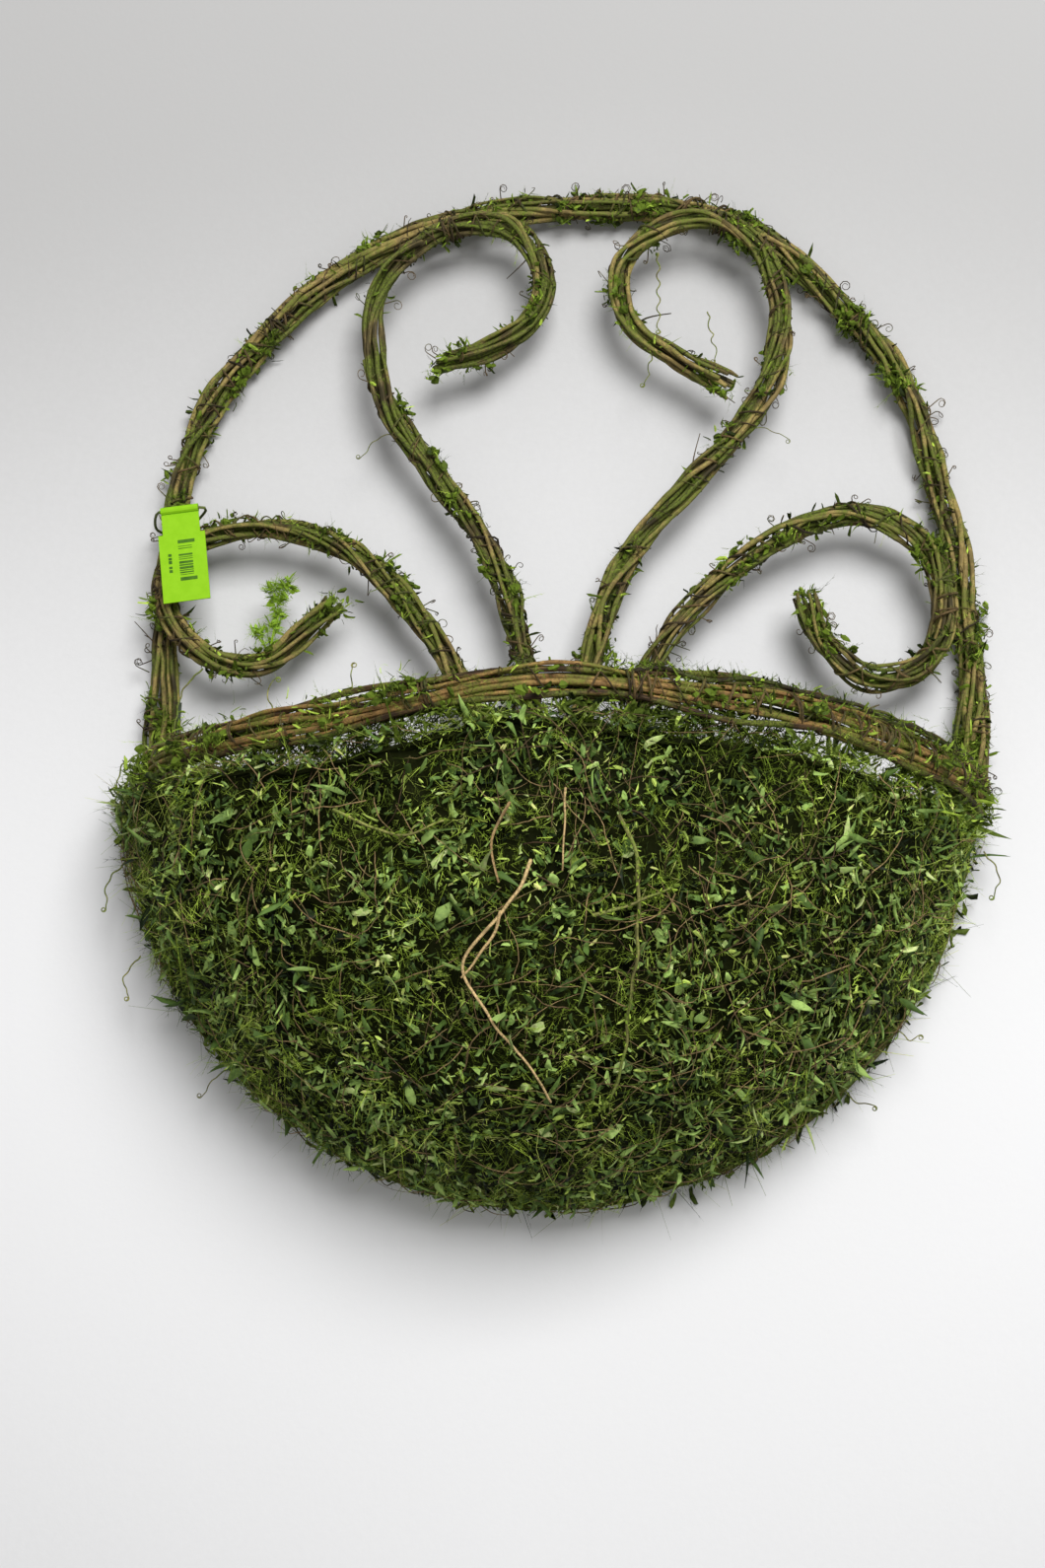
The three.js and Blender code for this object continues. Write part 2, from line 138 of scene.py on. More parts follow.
def tubes(paths, radii, sides, tone):
    # closed round tubes along many paths of the same number of points, all at once
    n, p, _ = paths.shape
    along = unit(np.gradient(paths, axis=1))
    first = np.where(np.abs(along[:, 0, 2:3]) < 0.9, [[0, 0, 1.0]], [[1.0, 0, 0]])
    side = np.zeros_like(paths)
    for k in range(p):
        first = unit(first - (first * along[:, k]).sum(1, keepdims=True) * along[:, k])
        side[:, k] = first
    other = np.cross(along, side)
    turn = np.arange(sides) / sides * 2 * np.pi
    c, s = np.cos(turn)[None, None, :, None], np.sin(turn)[None, None, :, None]
    ring = paths[:, :, None] + radii[:, :, None, None] * (c * side[:, :, None] + s * other[:, :, None])
    ends = paths[:, [0, -1]] + along[:, [0, -1]] * radii[:, [0, -1], None] * [[[-0.5], [0.5]]]
    verts = np.concatenate([ring.reshape(n, p * sides, 3), ends], axis=1)
    steps = np.linalg.norm(np.diff(paths, axis=1), axis=2)
    run = np.concatenate([np.zeros((n, 1)), np.cumsum(steps, axis=1)], 1)
    bark = np.zeros((n, p, sides, 3))
    bark[..., 0], bark[..., 1] = np.cos(turn), np.sin(turn)
    bark[..., 2] = run[:, :, None]
    endBark = np.zeros((n, 2, 3))
    endBark[:, 1, 2] = run[:, -1]
    bark = np.concatenate([bark.reshape(n, p * sides, 3), endBark], axis=1)
    i, j = np.meshgrid(np.arange(p - 1), np.arange(sides), indexing="ij")
    k = (j + 1) % sides
    quads = np.stack([i * sides + j, i * sides + k, (i + 1) * sides + k, (i + 1) * sides + j], -1)
    quads = quads.reshape(-1, 4)
    j = np.arange(sides)
    k = (j + 1) % sides
    last = (p - 1) * sides
    tips = np.vstack([np.column_stack([np.full(sides, p * sides), k, j]),
                      np.column_stack([np.full(sides, p * sides + 1), last + j, last + k])])
    step = (np.arange(n) * (p * sides + 2))[:, None, None]
    return {"verts": verts.reshape(-1, 3), "bark": bark.reshape(-1, 3),
            "tone": np.repeat(tone, p * sides + 2),
            "faces": [(quads[None] + step).reshape(-1, 4), (tips[None] + step).reshape(-1, 3)]}


def oneTube(path, radius, sides, tone):
    return tubes(np.array(path)[None], np.array(radius)[None], sides, np.array([tone]))


def tubeTriangles(tube):
    quads, tips = tube["faces"]
    return np.vstack([quads[:, [0, 1, 2]], quads[:, [0, 2, 3]], tips])


def buildPiece(name, parts, material, body, stands=(), smooth=True):
    # one named piece from several parts, riding on its body
    verts, bark, tone, faces, base = [], [], [], [], 0
    for part in parts:
        verts.append(part["verts"])
        bark.append(part["bark"])
        tone.append(part["tone"])
        for block in part["faces"]:
            faces += (block + base).tolist()
        base += len(part["verts"])
    verts = np.vstack(verts)
    verts[:, 1] = np.clip(verts[:, 1], frontY, wallY)
    mesh = bpy.data.meshes.new(name)
    mesh.from_pydata(verts.tolist(), [], faces)
    tone = np.concatenate(tone).astype("f")
    mesh.attributes.new("tone", "FLOAT", "POINT").data.foreach_set("value", tone)
    bark = np.vstack(bark).astype("f").ravel()
    mesh.attributes.new("bark", "FLOAT_VECTOR", "POINT").data.foreach_set("vector", bark)
    mesh.polygons.foreach_set("use_smooth", np.full(len(mesh.polygons), smooth))
    mesh.materials.append(material)
    piece = bpy.data.objects.new(name, mesh)
    bpy.context.collection.objects.link(piece)
    finishPiece(piece, body, stands)
    return piece


def finishPiece(piece, body, stands=()):
    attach(piece, body)
    if stands:
        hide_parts(*stands)
    piece.data.calc_loop_triangles()
    print("made", piece.name, len(piece.data.loop_triangles), "triangles")


def mossPiece(name, parts, finish, smooth=False):
    return buildPiece(name, parts, finish, "basket", smooth=smooth)


# finishes

def addNode(tree, kind, **values):
    node = tree.nodes.new(kind)
    for key, value in values.items():
        setattr(node, key, value)
    return node


def feed(tree, node, **sources):
    # link sockets or set values on the named inputs; an underscore stands for a space
    for key, source in sources.items():
        plug(tree, node.inputs[key.replace("_", " ")], source)
    return node


def plug(tree, socket, source):
    if isinstance(source, bpy.types.NodeSocket):
        tree.links.new(source, socket)
    else:
        socket.default_value = source


def mixColour(tree, factor, low, high):
    # low and high are a colour or a socket
    mix = addNode(tree, "ShaderNodeMix", data_type="RGBA")
    for place, source in ((0, factor), (6, low), (7, high)):
        plug(tree, mix.inputs[place], source)
    return mix.outputs[2]


def spread(tree, value, low, high, outLow=0.0, outHigh=1.0):
    remap = addNode(tree, "ShaderNodeMapRange", interpolation_type="SMOOTHSTEP")
    feed(tree, remap, Value=value, From_Min=low, From_Max=high, To_Min=outLow, To_Max=outHigh)
    return remap.outputs["Result"]


def calc(tree, kind, a, b):
    node = addNode(tree, "ShaderNodeMath", operation=kind)
    for place, source in enumerate((a, b)):
        plug(tree, node.inputs[place], source)
    return node.outputs[0]


def speckle(tree, vector, scale, detail=4.0, rough=0.6):
    noise = addNode(tree, "ShaderNodeTexNoise")
    feed(tree, noise, Vector=vector, Scale=scale, Detail=detail, Roughness=rough)
    return noise.outputs["Fac"]


def attribute(tree, name, output):
    return addNode(tree, "ShaderNodeAttribute", attribute_name=name).outputs[output]


def objectPlace(tree):
    return addNode(tree, "ShaderNodeTexCoord").outputs["Object"]


def bump(tree, shader, height, strength, distance):
    relief = addNode(tree, "ShaderNodeBump")
    feed(tree, relief, Height=height, Strength=strength, Distance=distance)
    feed(tree, shader, Normal=relief.outputs["Normal"])


def startGroup(name, colours, numbers):
    # a node group with the given inputs, and colour, roughness and height going out
    tree = bpy.data.node_groups.new(name, "ShaderNodeTree")
    for label in colours:
        tree.interface.new_socket(label, in_out="INPUT", socket_type="NodeSocketColor")
    for label in numbers:
        tree.interface.new_socket(label, in_out="INPUT", socket_type="NodeSocketFloat")
    for label, kind in (("Colour", "Color"), ("Roughness", "Float"), ("Height", "Float")):
        tree.interface.new_socket(label, in_out="OUTPUT", socket_type="NodeSocket" + kind)
    return tree, addNode(tree, "NodeGroupInput").outputs, addNode(tree, "NodeGroupOutput")


def startMaterial(name, specular=None):
    material = bpy.data.materials.new(name)
    material.use_nodes = True
    shader = material.node_tree.nodes["Principled BSDF"]
    if specular is not None:
        shader.inputs["Specular IOR Level"].default_value = specular
    return material, material.node_tree, shader


def makeBarkGroup():
    # streaks along a vine, worn pale patches and green algae
    tree, given, out = startGroup("barkStreaks", ("Dark", "Pale", "Green"), ("Green Cover", "Streak"))
    tone = attribute(tree, "tone", "Fac")
    place = objectPlace(tree)
    stretch = addNode(tree, "ShaderNodeVectorMath", operation="MULTIPLY")
    plug(tree, stretch.inputs[0], attribute(tree, "bark", "Vector"))
    plug(tree, stretch.inputs[1], (1.6, 1.6, 60))
    streak = speckle(tree, stretch.outputs[0], given["Streak"], 5.0, 0.65)
    fine = speckle(tree, place, 900.0, 3.0)
    patch = speckle(tree, place, 70.0, 3.0)
    # a low tone pulls a vine towards Dark; the hidden vines' low tones are painted shade
    grain = spread(tree, calc(tree, "ADD", streak, calc(tree, "MULTIPLY", tone, 0.5)), 0.46, 0.98)
    base = mixColour(tree, grain, given["Dark"], given["Pale"])
    cover = calc(tree, "ADD", patch, given["Green Cover"])
    green = calc(tree, "MULTIPLY", spread(tree, cover, 0.52, 0.72),
                 spread(tree, fine, 0.25, 0.7, 0.45, 1.0))
    shade = mixColour(tree, green, base, given["Green"])
    dirt = calc(tree, "MAXIMUM", spread(tree, fine, 0.36, 0.58, 0.55, 0.0),
                spread(tree, patch, 0.34, 0.48, 0.55, 0.0))
    feed(tree, out, Colour=mixColour(tree, dirt, shade, (0.014, 0.012, 0.006, 1)),
         Roughness=spread(tree, streak, 0.3, 0.7, 0.9, 0.55),
         Height=calc(tree, "ADD", streak, calc(tree, "MULTIPLY", fine, 0.4)))
    return tree


def makeMossGroup():
    # leaves and fibres that run from deep shade through greens to straw, each with its own tone
    tree, given, out = startGroup("mossTint", ("Deep", "Middle", "Light", "Straw"), ("Fleck",))
    tone = attribute(tree, "tone", "Fac")
    place = objectPlace(tree)
    fleck = speckle(tree, place, given["Fleck"])
    patch = speckle(tree, place, 38.0, 2.0)
    blend = calc(tree, "ADD", tone, calc(tree, "MULTIPLY", calc(tree, "SUBTRACT", fleck, 0.5), 0.5))
    shade = mixColour(tree, spread(tree, blend, 0.05, 0.4), given["Deep"], given["Middle"])
    shade = mixColour(tree, spread(tree, blend, 0.45, 0.85), shade, given["Light"])
    shade = mixColour(tree, spread(tree, blend, 0.9, 1.1), shade, given["Straw"])
    # painted shade: random patches are pulled towards the deep-shade colour
    shade = mixColour(tree, spread(tree, patch, 0.35, 0.65, 0.4, 0.0), shade, given["Deep"])
    feed(tree, out, Colour=shade, Roughness=spread(tree, fleck, 0.3, 0.7, 0.45, 0.8), Height=fleck)
    return tree


barkGroup = makeBarkGroup()
mossGroup = makeMossGroup()


def groupFinish(name, group, values, relief, specular):
    # a material whose colour, roughness and relief come from one of the groups
    material, tree, shader = startMaterial(name, specular)
    effect = addNode(tree, "ShaderNodeGroup", node_tree=group)
    for label, value in values.items():
        effect.inputs[label].default_value = (*value, 1) if isinstance(value, tuple) else value
    bump(tree, shader, effect.outputs["Height"], relief, 0.0006)
    feed(tree, shader, Base_Color=effect.outputs["Colour"], Roughness=effect.outputs["Roughness"])
    return material


def barkFinish(name, dark, pale, green, cover, streak, relief):
    values = {"Dark": dark, "Pale": pale, "Green": green, "Green Cover": cover, "Streak": streak}
    return groupFinish(name, barkGroup, values, relief, 0.3)


def mossFinish(name, deep, middle, light, straw, fleck, relief, specular):
    values = {"Deep": deep, "Middle": middle, "Light": light, "Straw": straw, "Fleck": fleck}
    return groupFinish(name, mossGroup, values, relief, specular)


# each vine's finish: dark, pale and green; how far the green spreads, the streaks' scale and the relief
archBark = barkFinish("archVineBark", (0.045, 0.036, 0.009), (0.47, 0.345, 0.115),
                      (0.130, 0.175, 0.018),
                      0.14, 1.3, 0.8)
rimBark = barkFinish("rimVineBark", (0.036, 0.017, 0.007), (0.50, 0.285, 0.095), (0.14, 0.175, 0.02),
                     0.10, 1.1, 0.8)
tendrilBark = barkFinish("tendrilBark", (0.030, 0.020, 0.009), (0.17, 0.11, 0.04), (0.09, 0.12, 0.02),
                         0.05, 1.6, 0.6)
shootBark = barkFinish("greenShoot", (0.10, 0.11, 0.025), (0.42, 0.40, 0.12), (0.18, 0.26, 0.035),
                       0.1, 1.2, 0.4)
rootBark = barkFinish("rootletBark", (0.040, 0.018, 0.008), (0.40, 0.27, 0.12), (0.10, 0.13, 0.02),
                      0.0, 1.6, 0.4)
stemBark = barkFinish("tanStemBark", (0.24, 0.13, 0.045), (0.84, 0.60, 0.28), (0.18, 0.22, 0.03),
                      -0.06, 1.0, 0.5)

# each moss's finish: its tones from deep shade to straw; the flecks' scale, the relief and the gloss
mossLeaf = mossFinish("mossLeaf", (0.007, 0.012, 0.002), (0.152, 0.222, 0.030), (0.66, 0.85, 0.17),
                      (0.78, 0.74, 0.30), 420.0, 0.5, 0.15)
mossBroad = mossFinish("mossBroadLeaf", (0.006, 0.013, 0.003), (0.110, 0.195, 0.038),
                       (0.45, 0.65, 0.17),
                       (0.70, 0.76, 0.34), 380.0, 0.5, 0.2)
mossFibre = mossFinish("mossFibre", (0.012, 0.014, 0.003), (0.175, 0.235, 0.028), (0.70, 0.86, 0.17),
                       (0.58, 0.44, 0.20), 500.0, 0.3, 0.1)
tuftMoss = mossFinish("tuftMoss", (0.014, 0.022, 0.003), (0.150, 0.225, 0.022), (0.58, 0.80, 0.10),
                      (0.50, 0.50, 0.18), 600.0, 0.3, 0.1)
brightMoss = mossFinish("brightTuft", (0.11, 0.19, 0.012), (0.29, 0.46, 0.032), (0.42, 0.66, 0.09),
                        (0.50, 0.62, 0.15), 600.0, 0.3, 0.1)
# the mat's finish is near black: painted shade for the hollows between the leaves
paintedShadeMoss = mossFinish("mossMatPaintedShade", (0.003, 0.004, 0.001), (0.011, 0.014, 0.003), (0.030, 0.034, 0.009),
                     (0.06, 0.045, 0.02), 420.0, 1.0, 0.03)
sheetMoss = mossFinish("mossSheet", (0.030, 0.040, 0.008), (0.13, 0.16, 0.03), (0.36, 0.42, 0.09),
                       (0.34, 0.25, 0.10), 330.0, 1.2, 0.1)


def makeWireFinish():
    # dark green enamel, rubbed to grey steel in spots
    material, tree, shader = startMaterial("wireEnamel")
    place = objectPlace(tree)
    wear = spread(tree, speckle(tree, place, 220.0), 0.6, 0.7)
    dirt = speckle(tree, place, 60.0)
    paint = mixColour(tree, dirt, (0.018, 0.035, 0.015, 1), (0.045, 0.060, 0.028, 1))
    feed(tree, shader, Base_Color=mixColour(tree, wear, paint, (0.22, 0.21, 0.19, 1)), Metallic=wear,
         Roughness=spread(tree, dirt, 0.3, 0.7, 0.35, 0.6))
    return material


def makeCardFinish(name, low, high, roughest=0.68):
    # coated card with a faint mottle, or dull ink printed on it
    material, tree, shader = startMaterial(name, 0.12)
    place = objectPlace(tree)
    mottle = spread(tree, speckle(tree, place, 180.0, 5.0), 0.35, 0.65)
    feed(tree, shader, Base_Color=mixColour(tree, mottle, (*low, 1), (*high, 1)),
         Roughness=spread(tree, speckle(tree, place, 900.0), 0.3, 0.7, 0.6, roughest))
    return material


wireFinish = makeWireFinish()
cardFinish = makeCardFinish("limeCard", (0.26, 0.555, 0.010), (0.285, 0.59, 0.014))
tieFinish = makeCardFinish("tieCoating", (0.10, 0.13, 0.035), (0.17, 0.20, 0.06))
inkFinish = makeCardFinish("tagInk", (0.045, 0.13, 0.012), (0.075, 0.19, 0.015), 0.75)
print("finishes made")


# camera, floor, wall and light
cameraPlace = {"place": (0.093, -1.272, -0.5985), "yaw": -5.06, "pitch": 12.18, "roll": 2.81,
               "lens": 56.49}
# the stage's pale paint, and the colour and spread of the shade painted on it
room = {"wallY": 0.0108, "floorZ": -0.92, "wide": 1.9, "topZ": 0.4, "floorSize": 8,
        "pale": (0.795, 0.795, 0.802), "paintedShade": (0.465, 0.462, 0.458),
        "palestAbove": -0.43, "palestBelow": -0.50, "sink": 0.6, "aside": 0.22, "mottle": 0.04,
        "fade": 0.57, "fadePower": 1.4}
light = {"key": (0.74, -2.75, 0.85), "aim": (0, -0.02, -0.35), "keySize": 1.7, "keyPower": 104.0,
         "world": 0.26}


def placeCamera(settings):
    yaw, pitch, roll = (math.radians(settings[k]) for k in ("yaw", "pitch", "roll"))
    ahead = Vector((math.sin(yaw) * math.cos(pitch), math.cos(yaw) * math.cos(pitch), math.sin(pitch)))
    right = ahead.cross(Vector((0, 0, 1))).normalized()
    above = right.cross(ahead)
    across = right * math.cos(roll) + above * math.sin(roll)
    top = above * math.cos(roll) - right * math.sin(roll)
    data = bpy.data.cameras.new("camera")
    data.lens = settings["lens"]
    data.sensor_width = 36
    data.clip_end = 20
    camera = bpy.data.objects.new("camera", data)
    turn = Matrix((across, top, -ahead)).transposed().to_4x4()
    camera.matrix_world = Matrix.Translation(settings["place"]) @ turn
    bpy.context.collection.objects.link(camera)
    bpy.context.scene.camera = camera


def stageFinish(name, oneSided):
    # pale matt paint with a faint roller texture, and painted shade that darkens it further up, down and aside;
    # the wall shows only from the front and blocks no light
    material, tree, shader = startMaterial(name, 0.1)
    shader.inputs["Roughness"].default_value = 0.85
    place = objectPlace(tree)
    grain = speckle(tree, place, 260.0, 3.0)
    axes = addNode(tree, "ShaderNodeSeparateXYZ")
    plug(tree, axes.inputs[0], place)
    # painted shade: the further a point lies from the palest band, the darker its paint
    rise = calc(tree, "ADD", axes.outputs["Z"], -room["palestAbove"])
    below = calc(tree, "SUBTRACT", room["palestBelow"], axes.outputs["Z"])
    sink = calc(tree, "MULTIPLY", below, room["sink"])
    aside = calc(tree, "MULTIPLY", calc(tree, "ABSOLUTE", axes.outputs["X"], 0.0), room["aside"])
    mottle = calc(tree, "MULTIPLY", grain, room["mottle"])
    far = calc(tree, "ADD", calc(tree, "MAXIMUM", rise, sink), calc(tree, "ADD", aside, mottle))
    paintedShade = calc(tree, "POWER", spread(tree, far, 0.0, room["fade"]), room["fadePower"])
    feed(tree, shader, Base_Color=mixColour(tree, paintedShade, (*room["pale"], 1), (*room["paintedShade"], 1)))
    bump(tree, shader, grain, 0.12, 0.0008)
    if oneSided:
        rays = addNode(tree, "ShaderNodeLightPath").outputs
        seen = calc(tree, "MAXIMUM", rays["Is Camera Ray"],
                    calc(tree, "MAXIMUM", rays["Is Glossy Ray"], rays["Is Transmission Ray"]))
        facing = addNode(tree, "ShaderNodeNewGeometry").outputs["Backfacing"]
        front = calc(tree, "MULTIPLY", seen, calc(tree, "SUBTRACT", 1.0, facing))
        clear = addNode(tree, "ShaderNodeBsdfTransparent")
        mix = addNode(tree, "ShaderNodeMixShader")
        for place, source in enumerate((front, clear.outputs[0], shader.outputs[0])):
            plug(tree, mix.inputs[place], source)
        plug(tree, tree.nodes["Material Output"].inputs["Surface"], mix.outputs[0])
    return material


def makeRoom():
    deselectAll()
    bpy.ops.mesh.primitive_plane_add(size=1, location=(0, 0, 0))
    wall = bpy.context.object
    wall.name = "wallBackdrop"
    x, y = room["wide"] / 2, room["wallY"]
    corners = [(side, y, z) for z in (room["floorZ"], room["topZ"]) for side in (-x, x)]
    for vertex, corner in zip(wall.data.vertices, corners):
        vertex.co = corner
    wall.data.materials.append(stageFinish("wallPaint", True))
    bpy.ops.mesh.primitive_plane_add(size=room["floorSize"], location=(0, 0, room["floorZ"]))
    floor = bpy.context.object
    floor.name = "floor"
    floor.data.materials.append(stageFinish("floorPaint", False))


def makeLight(settings):
    data = bpy.data.lights.new("keyLight", "AREA")
    data.size = settings["keySize"]
    data.energy = settings["keyPower"]
    lamp = bpy.data.objects.new("keyLight", data)
    place = Vector(settings["key"])
    lamp.location = place
    lamp.rotation_euler = (Vector(settings["aim"]) - place).to_track_quat("-Z", "Y").to_euler()
    bpy.context.collection.objects.link(lamp)
    world = bpy.data.worlds.new("paleRoom")
    world.use_nodes = True
    world.node_tree.nodes["Background"].inputs["Color"].default_value = (1, 1, 1, 1)
    world.node_tree.nodes["Background"].inputs["Strength"].default_value = settings["world"]
    bpy.context.scene.world = world


placeCamera(cameraPlace)
makeRoom()
makeLight(light)
bpy.context.scene.view_settings.view_transform = "Standard"
print("camera, room and light placed")


# centre lines, as [x, height above the rim's middle] in millimetres
archLine = [
    [-217, -13], [-219, 43], [-219, 93], [-216, 150], [-205, 195], [-185, 229], [-147, 271],
    [-98, 303], [-50, 318], [0, 322], [53, 322], [94, 308], [131, 277], [161, 243],
    [184, 207], [194, 169], [206, 125], [213, 82], [218, 30], [218, -13],
]
scrollLines = {
    "outer_left": [
        [-39, -38], [-39, -4], [-44, 20], [-60, 52], [-90, 91], [-124, 116], [-160, 126], [-192, 122],
        [-212, 107], [-217, 86], [-206, 64], [-184, 50], [-159, 51], [-139, 68], [-123, 86]],
    "inner_left": [
        [-12, -38], [-12, 8], [-22, 58], [-38, 108], [-72, 157], [-101, 194], [-114, 237],
        [-108, 271], [-84, 295], [-58, 304], [-34, 297], [-21, 274], [-27, 248], [-50, 230], [-78, 219]],
    "inner_right": [
        [11, -38], [11, 14], [21, 83], [37, 121], [64, 155], [95, 195], [108, 228], [109, 261],
        [98, 291], [76, 306], [48, 305], [27, 290], [21, 271], [30, 244], [54, 227], [85, 211]],
    "outer_right": [
        [33, -38], [34, 4], [48, 54], [68, 88], [102, 119], [138, 138], [163, 139], [187, 126],
        [199, 101], [198, 73], [182, 54], [159, 51], [138, 68], [127, 96]],
}
rimLine = [[-235, -18], [-190, -18], [-145, -17], [-100, -15], [-60, -8.5], [-25, -2.5], [10, 0],
           [60, 0.5], [110, -0.5], [160, -6.5], [200, -11], [235, -13]]
rimX, rimHeights = np.array(rimLine).T * mm
intoRoom = np.array([0, -1.0, 0])
bow = {"halfWidth": 0.217, "frontY": -0.185, "squareness": 1.8, "step": 0.003}


def wallTrack(line, y):
    return smoothTrack([[x * mm, y, rimZ + height * mm] for x, height in line], 0.0025)


def rimTrack(inset):
    # the rim's bow from its left corner round the front to its right corner
    turn = np.linspace(0, np.pi, 400)
    power = 2 / bow["squareness"]
    x = -(bow["halfWidth"] - inset) * np.sign(np.cos(turn)) * np.abs(np.cos(turn)) ** power
    y = rimBackY - (rimBackY - bow["frontY"] - inset) * np.abs(np.sin(turn)) ** power
    line = np.column_stack([x, y, rimZ + np.interp(x, rimX, rimHeights)])
    run = runLength(line)
    return sample(np.linspace(0, run[-1], int(run[-1] / bow["step"])), run, line)


archTrack = wallTrack(archLine, 0.0)
scrollTracks = {name: wallTrack(line, scrollY) for name, line in scrollLines.items()}


# vines, tendrils and sprigs along a track

windSettings = {"length": (0.04, 0.13), "pitch": (0.014, 0.034), "radius": (0.0004, 0.0008),
                "fromEnd": 0.004, "uneven": 0.09, "tailLift": 0.004, "tipShare": 0.35,
                "perKnot": 4, "knotLength": (0.006, 0.018), "knotTurns": (1.2, 2.4), "knotBack": 0.008,
                "knotSpread": 0.006, "knotLift": (-0.0004, 0.0006), "knotRadius": (0.0004, 0.0007)}
sprigSettings = {"shape": 2.5, "length": 0.0016, "longest": 0.0065, "radius": (0.00035, 0.0007),
                 "bend": 1.1, "forkSpread": 0.6, "forkLength": 0.5, "forkRadius": 0.7}
curlSettings = {"stalk": (0.0015, 0.008), "coil": (0.0009, 0.0031), "turns": (0.6, 2.1),
                "radius": 0.00034, "stalkShare": 0.35, "tighten": 0.55, "sideways": 0.004}
tuftSettings = {"alongBundle": 0.0042, "scatter": 0.0012, "thick": 0.003, "splay": 0.8}


def bundleCanes(track, settings, seed):
    # many thin vines that twist slowly round one another, with joints and cut ends
    rng = np.random.default_rng(seed)
    run = runLength(track)
    total = run[-1]
    along, out, side = crossFrame(track, intoRoom)
    parts = []
    for k in range(settings["canes"]):
        inner = k < settings["core"]
        reach = settings["coreSpread"] if inner else settings["spread"]
        first, last = 0.0, total
        if not inner and k % 4 == 1:      # some vines are short and spliced in
            first = rng.uniform(0, 0.35) * total
            last = first + rng.uniform(0.35, 0.6) * total
            last = total if last > 0.75 * total else last
        keep = (run >= first) & (run <= last)
        r = run[keep]
        radius = rng.uniform(*settings["radius"])
        turn = k * 2.4 + r / settings["pitch"] * 2 * np.pi + drift(rng, r, 0.14, 0.5)
        far = reach * (1 + drift(rng, r, 0.09, settings["wander"]))
        fromEnd = np.minimum(total - r, settings["splayLength"]) / settings["splayLength"]
        far = far * (1 + settings["splay"] * (1 - fromEnd) ** 2)
        path = track[keep] + far[:, None] * around(turn, out[keep], side[keep])
        path += wobble(rng, r, 0.03, 0.00025)
        thick = radius * jointed(rng, r, settings["joints"])
        ends = np.minimum(r - r[0], r[-1] - r)
        thick *= 0.8 + 0.2 * np.clip(ends / 0.004, 0, 1)
        shift = rng.integers(0, 4)
        path = path[:len(path) - shift] if k and len(path) > 30 else path
        # core vines get a low tone: painted shade deep inside the bundle
        parts.append(oneTube(path, thick[:len(path)], settings["sides"],
                             rng.uniform(0, 0.2 if inner else 1)))
    return parts


def windings(track, settings, seed, outward, knots):
    # thin tendrils wound round a bundle: loose runs, and tight knots at the given places
    rng = np.random.default_rng(seed)
    run = runLength(track)
    along, out, side = crossFrame(track, outward)
    w = windSettings
    parts = []

    def wind(start, length, turns, lift, radius):
        count = int(turns * 15) + 6
        s = np.linspace(start, start + length, count)
        ease = np.linspace(0, 1, count)
        centre, o, e = (sample(s, run, rows) for rows in (track, out, side))
        turn = rng.uniform(0, 6.28) + rng.choice([-1, 1]) * ease * turns * 2 * np.pi
        turn = turn + drift(rng, s, 0.02, 0.3)
        far = settings["reach"] * (1 + drift(rng, s, 0.012, w["uneven"])) + lift
        tail = np.clip(np.abs(ease - 0.5) * 2 - 0.9, 0, 0.1) * 10
        far = far + tail * rng.uniform(0, w["tailLift"])
        path = centre + far[:, None] * around(turn, unit(o), unit(e))
        tip = w["tipShare"]
        thick = radius * (tip + (1 - tip) * np.clip(6 * np.minimum(ease, 1 - ease), 0, 1))
        parts.append(oneTube(path, thick, 5, rng.uniform(0, 1)))

    for _ in range(settings["runs"]):
        length = rng.uniform(*w["length"])
        start = rng.uniform(w["fromEnd"], max(run[-1] - length - w["fromEnd"], 0.006))
        length = min(length, run[-1] - start - 0.002)
        wind(start, length, length / rng.uniform(*w["pitch"]), 0, rng.uniform(*w["radius"]))
    for place in knots:
        for _ in range(w["perKnot"]):
            start = place - w["knotBack"] + rng.uniform(-w["knotSpread"], w["knotSpread"])
            wind(max(start, 0.001), rng.uniform(*w["knotLength"]), rng.uniform(*w["knotTurns"]),
                 rng.uniform(*w["knotLift"]), rng.uniform(*w["knotRadius"]))
    return parts


def bundleSpots(track, rng, count, reach, outward=intoRoom, cluster=0.0, flat=0.75, lean=0.0):
    # random spots on a bundle's skin: their place, the way out and the way along
    run = runLength(track)
    along, out, side = crossFrame(track, outward)
    if cluster:
        centres = rng.uniform(0, 1, max(2, int(run[-1] / cluster))) ** (1 / (1 + lean)) * run[-1]
        s = rng.choice(centres, count) + rng.normal(0, cluster * 0.16, count)
    else:
        s = rng.uniform(0, run[-1], count)
    pick = np.searchsorted(run, np.clip(s, 0.001, run[-1] - 0.001))
    away = around(rng.uniform(0, 2 * np.pi, count), out[pick], side[pick])
    away[:, 1] = np.minimum(away[:, 1], 0.45)      # few point straight back at the wall
    away = unit(away)
    return track[pick] + away * reach * rng.uniform(flat, 1.05, count)[:, None], away, along[pick]


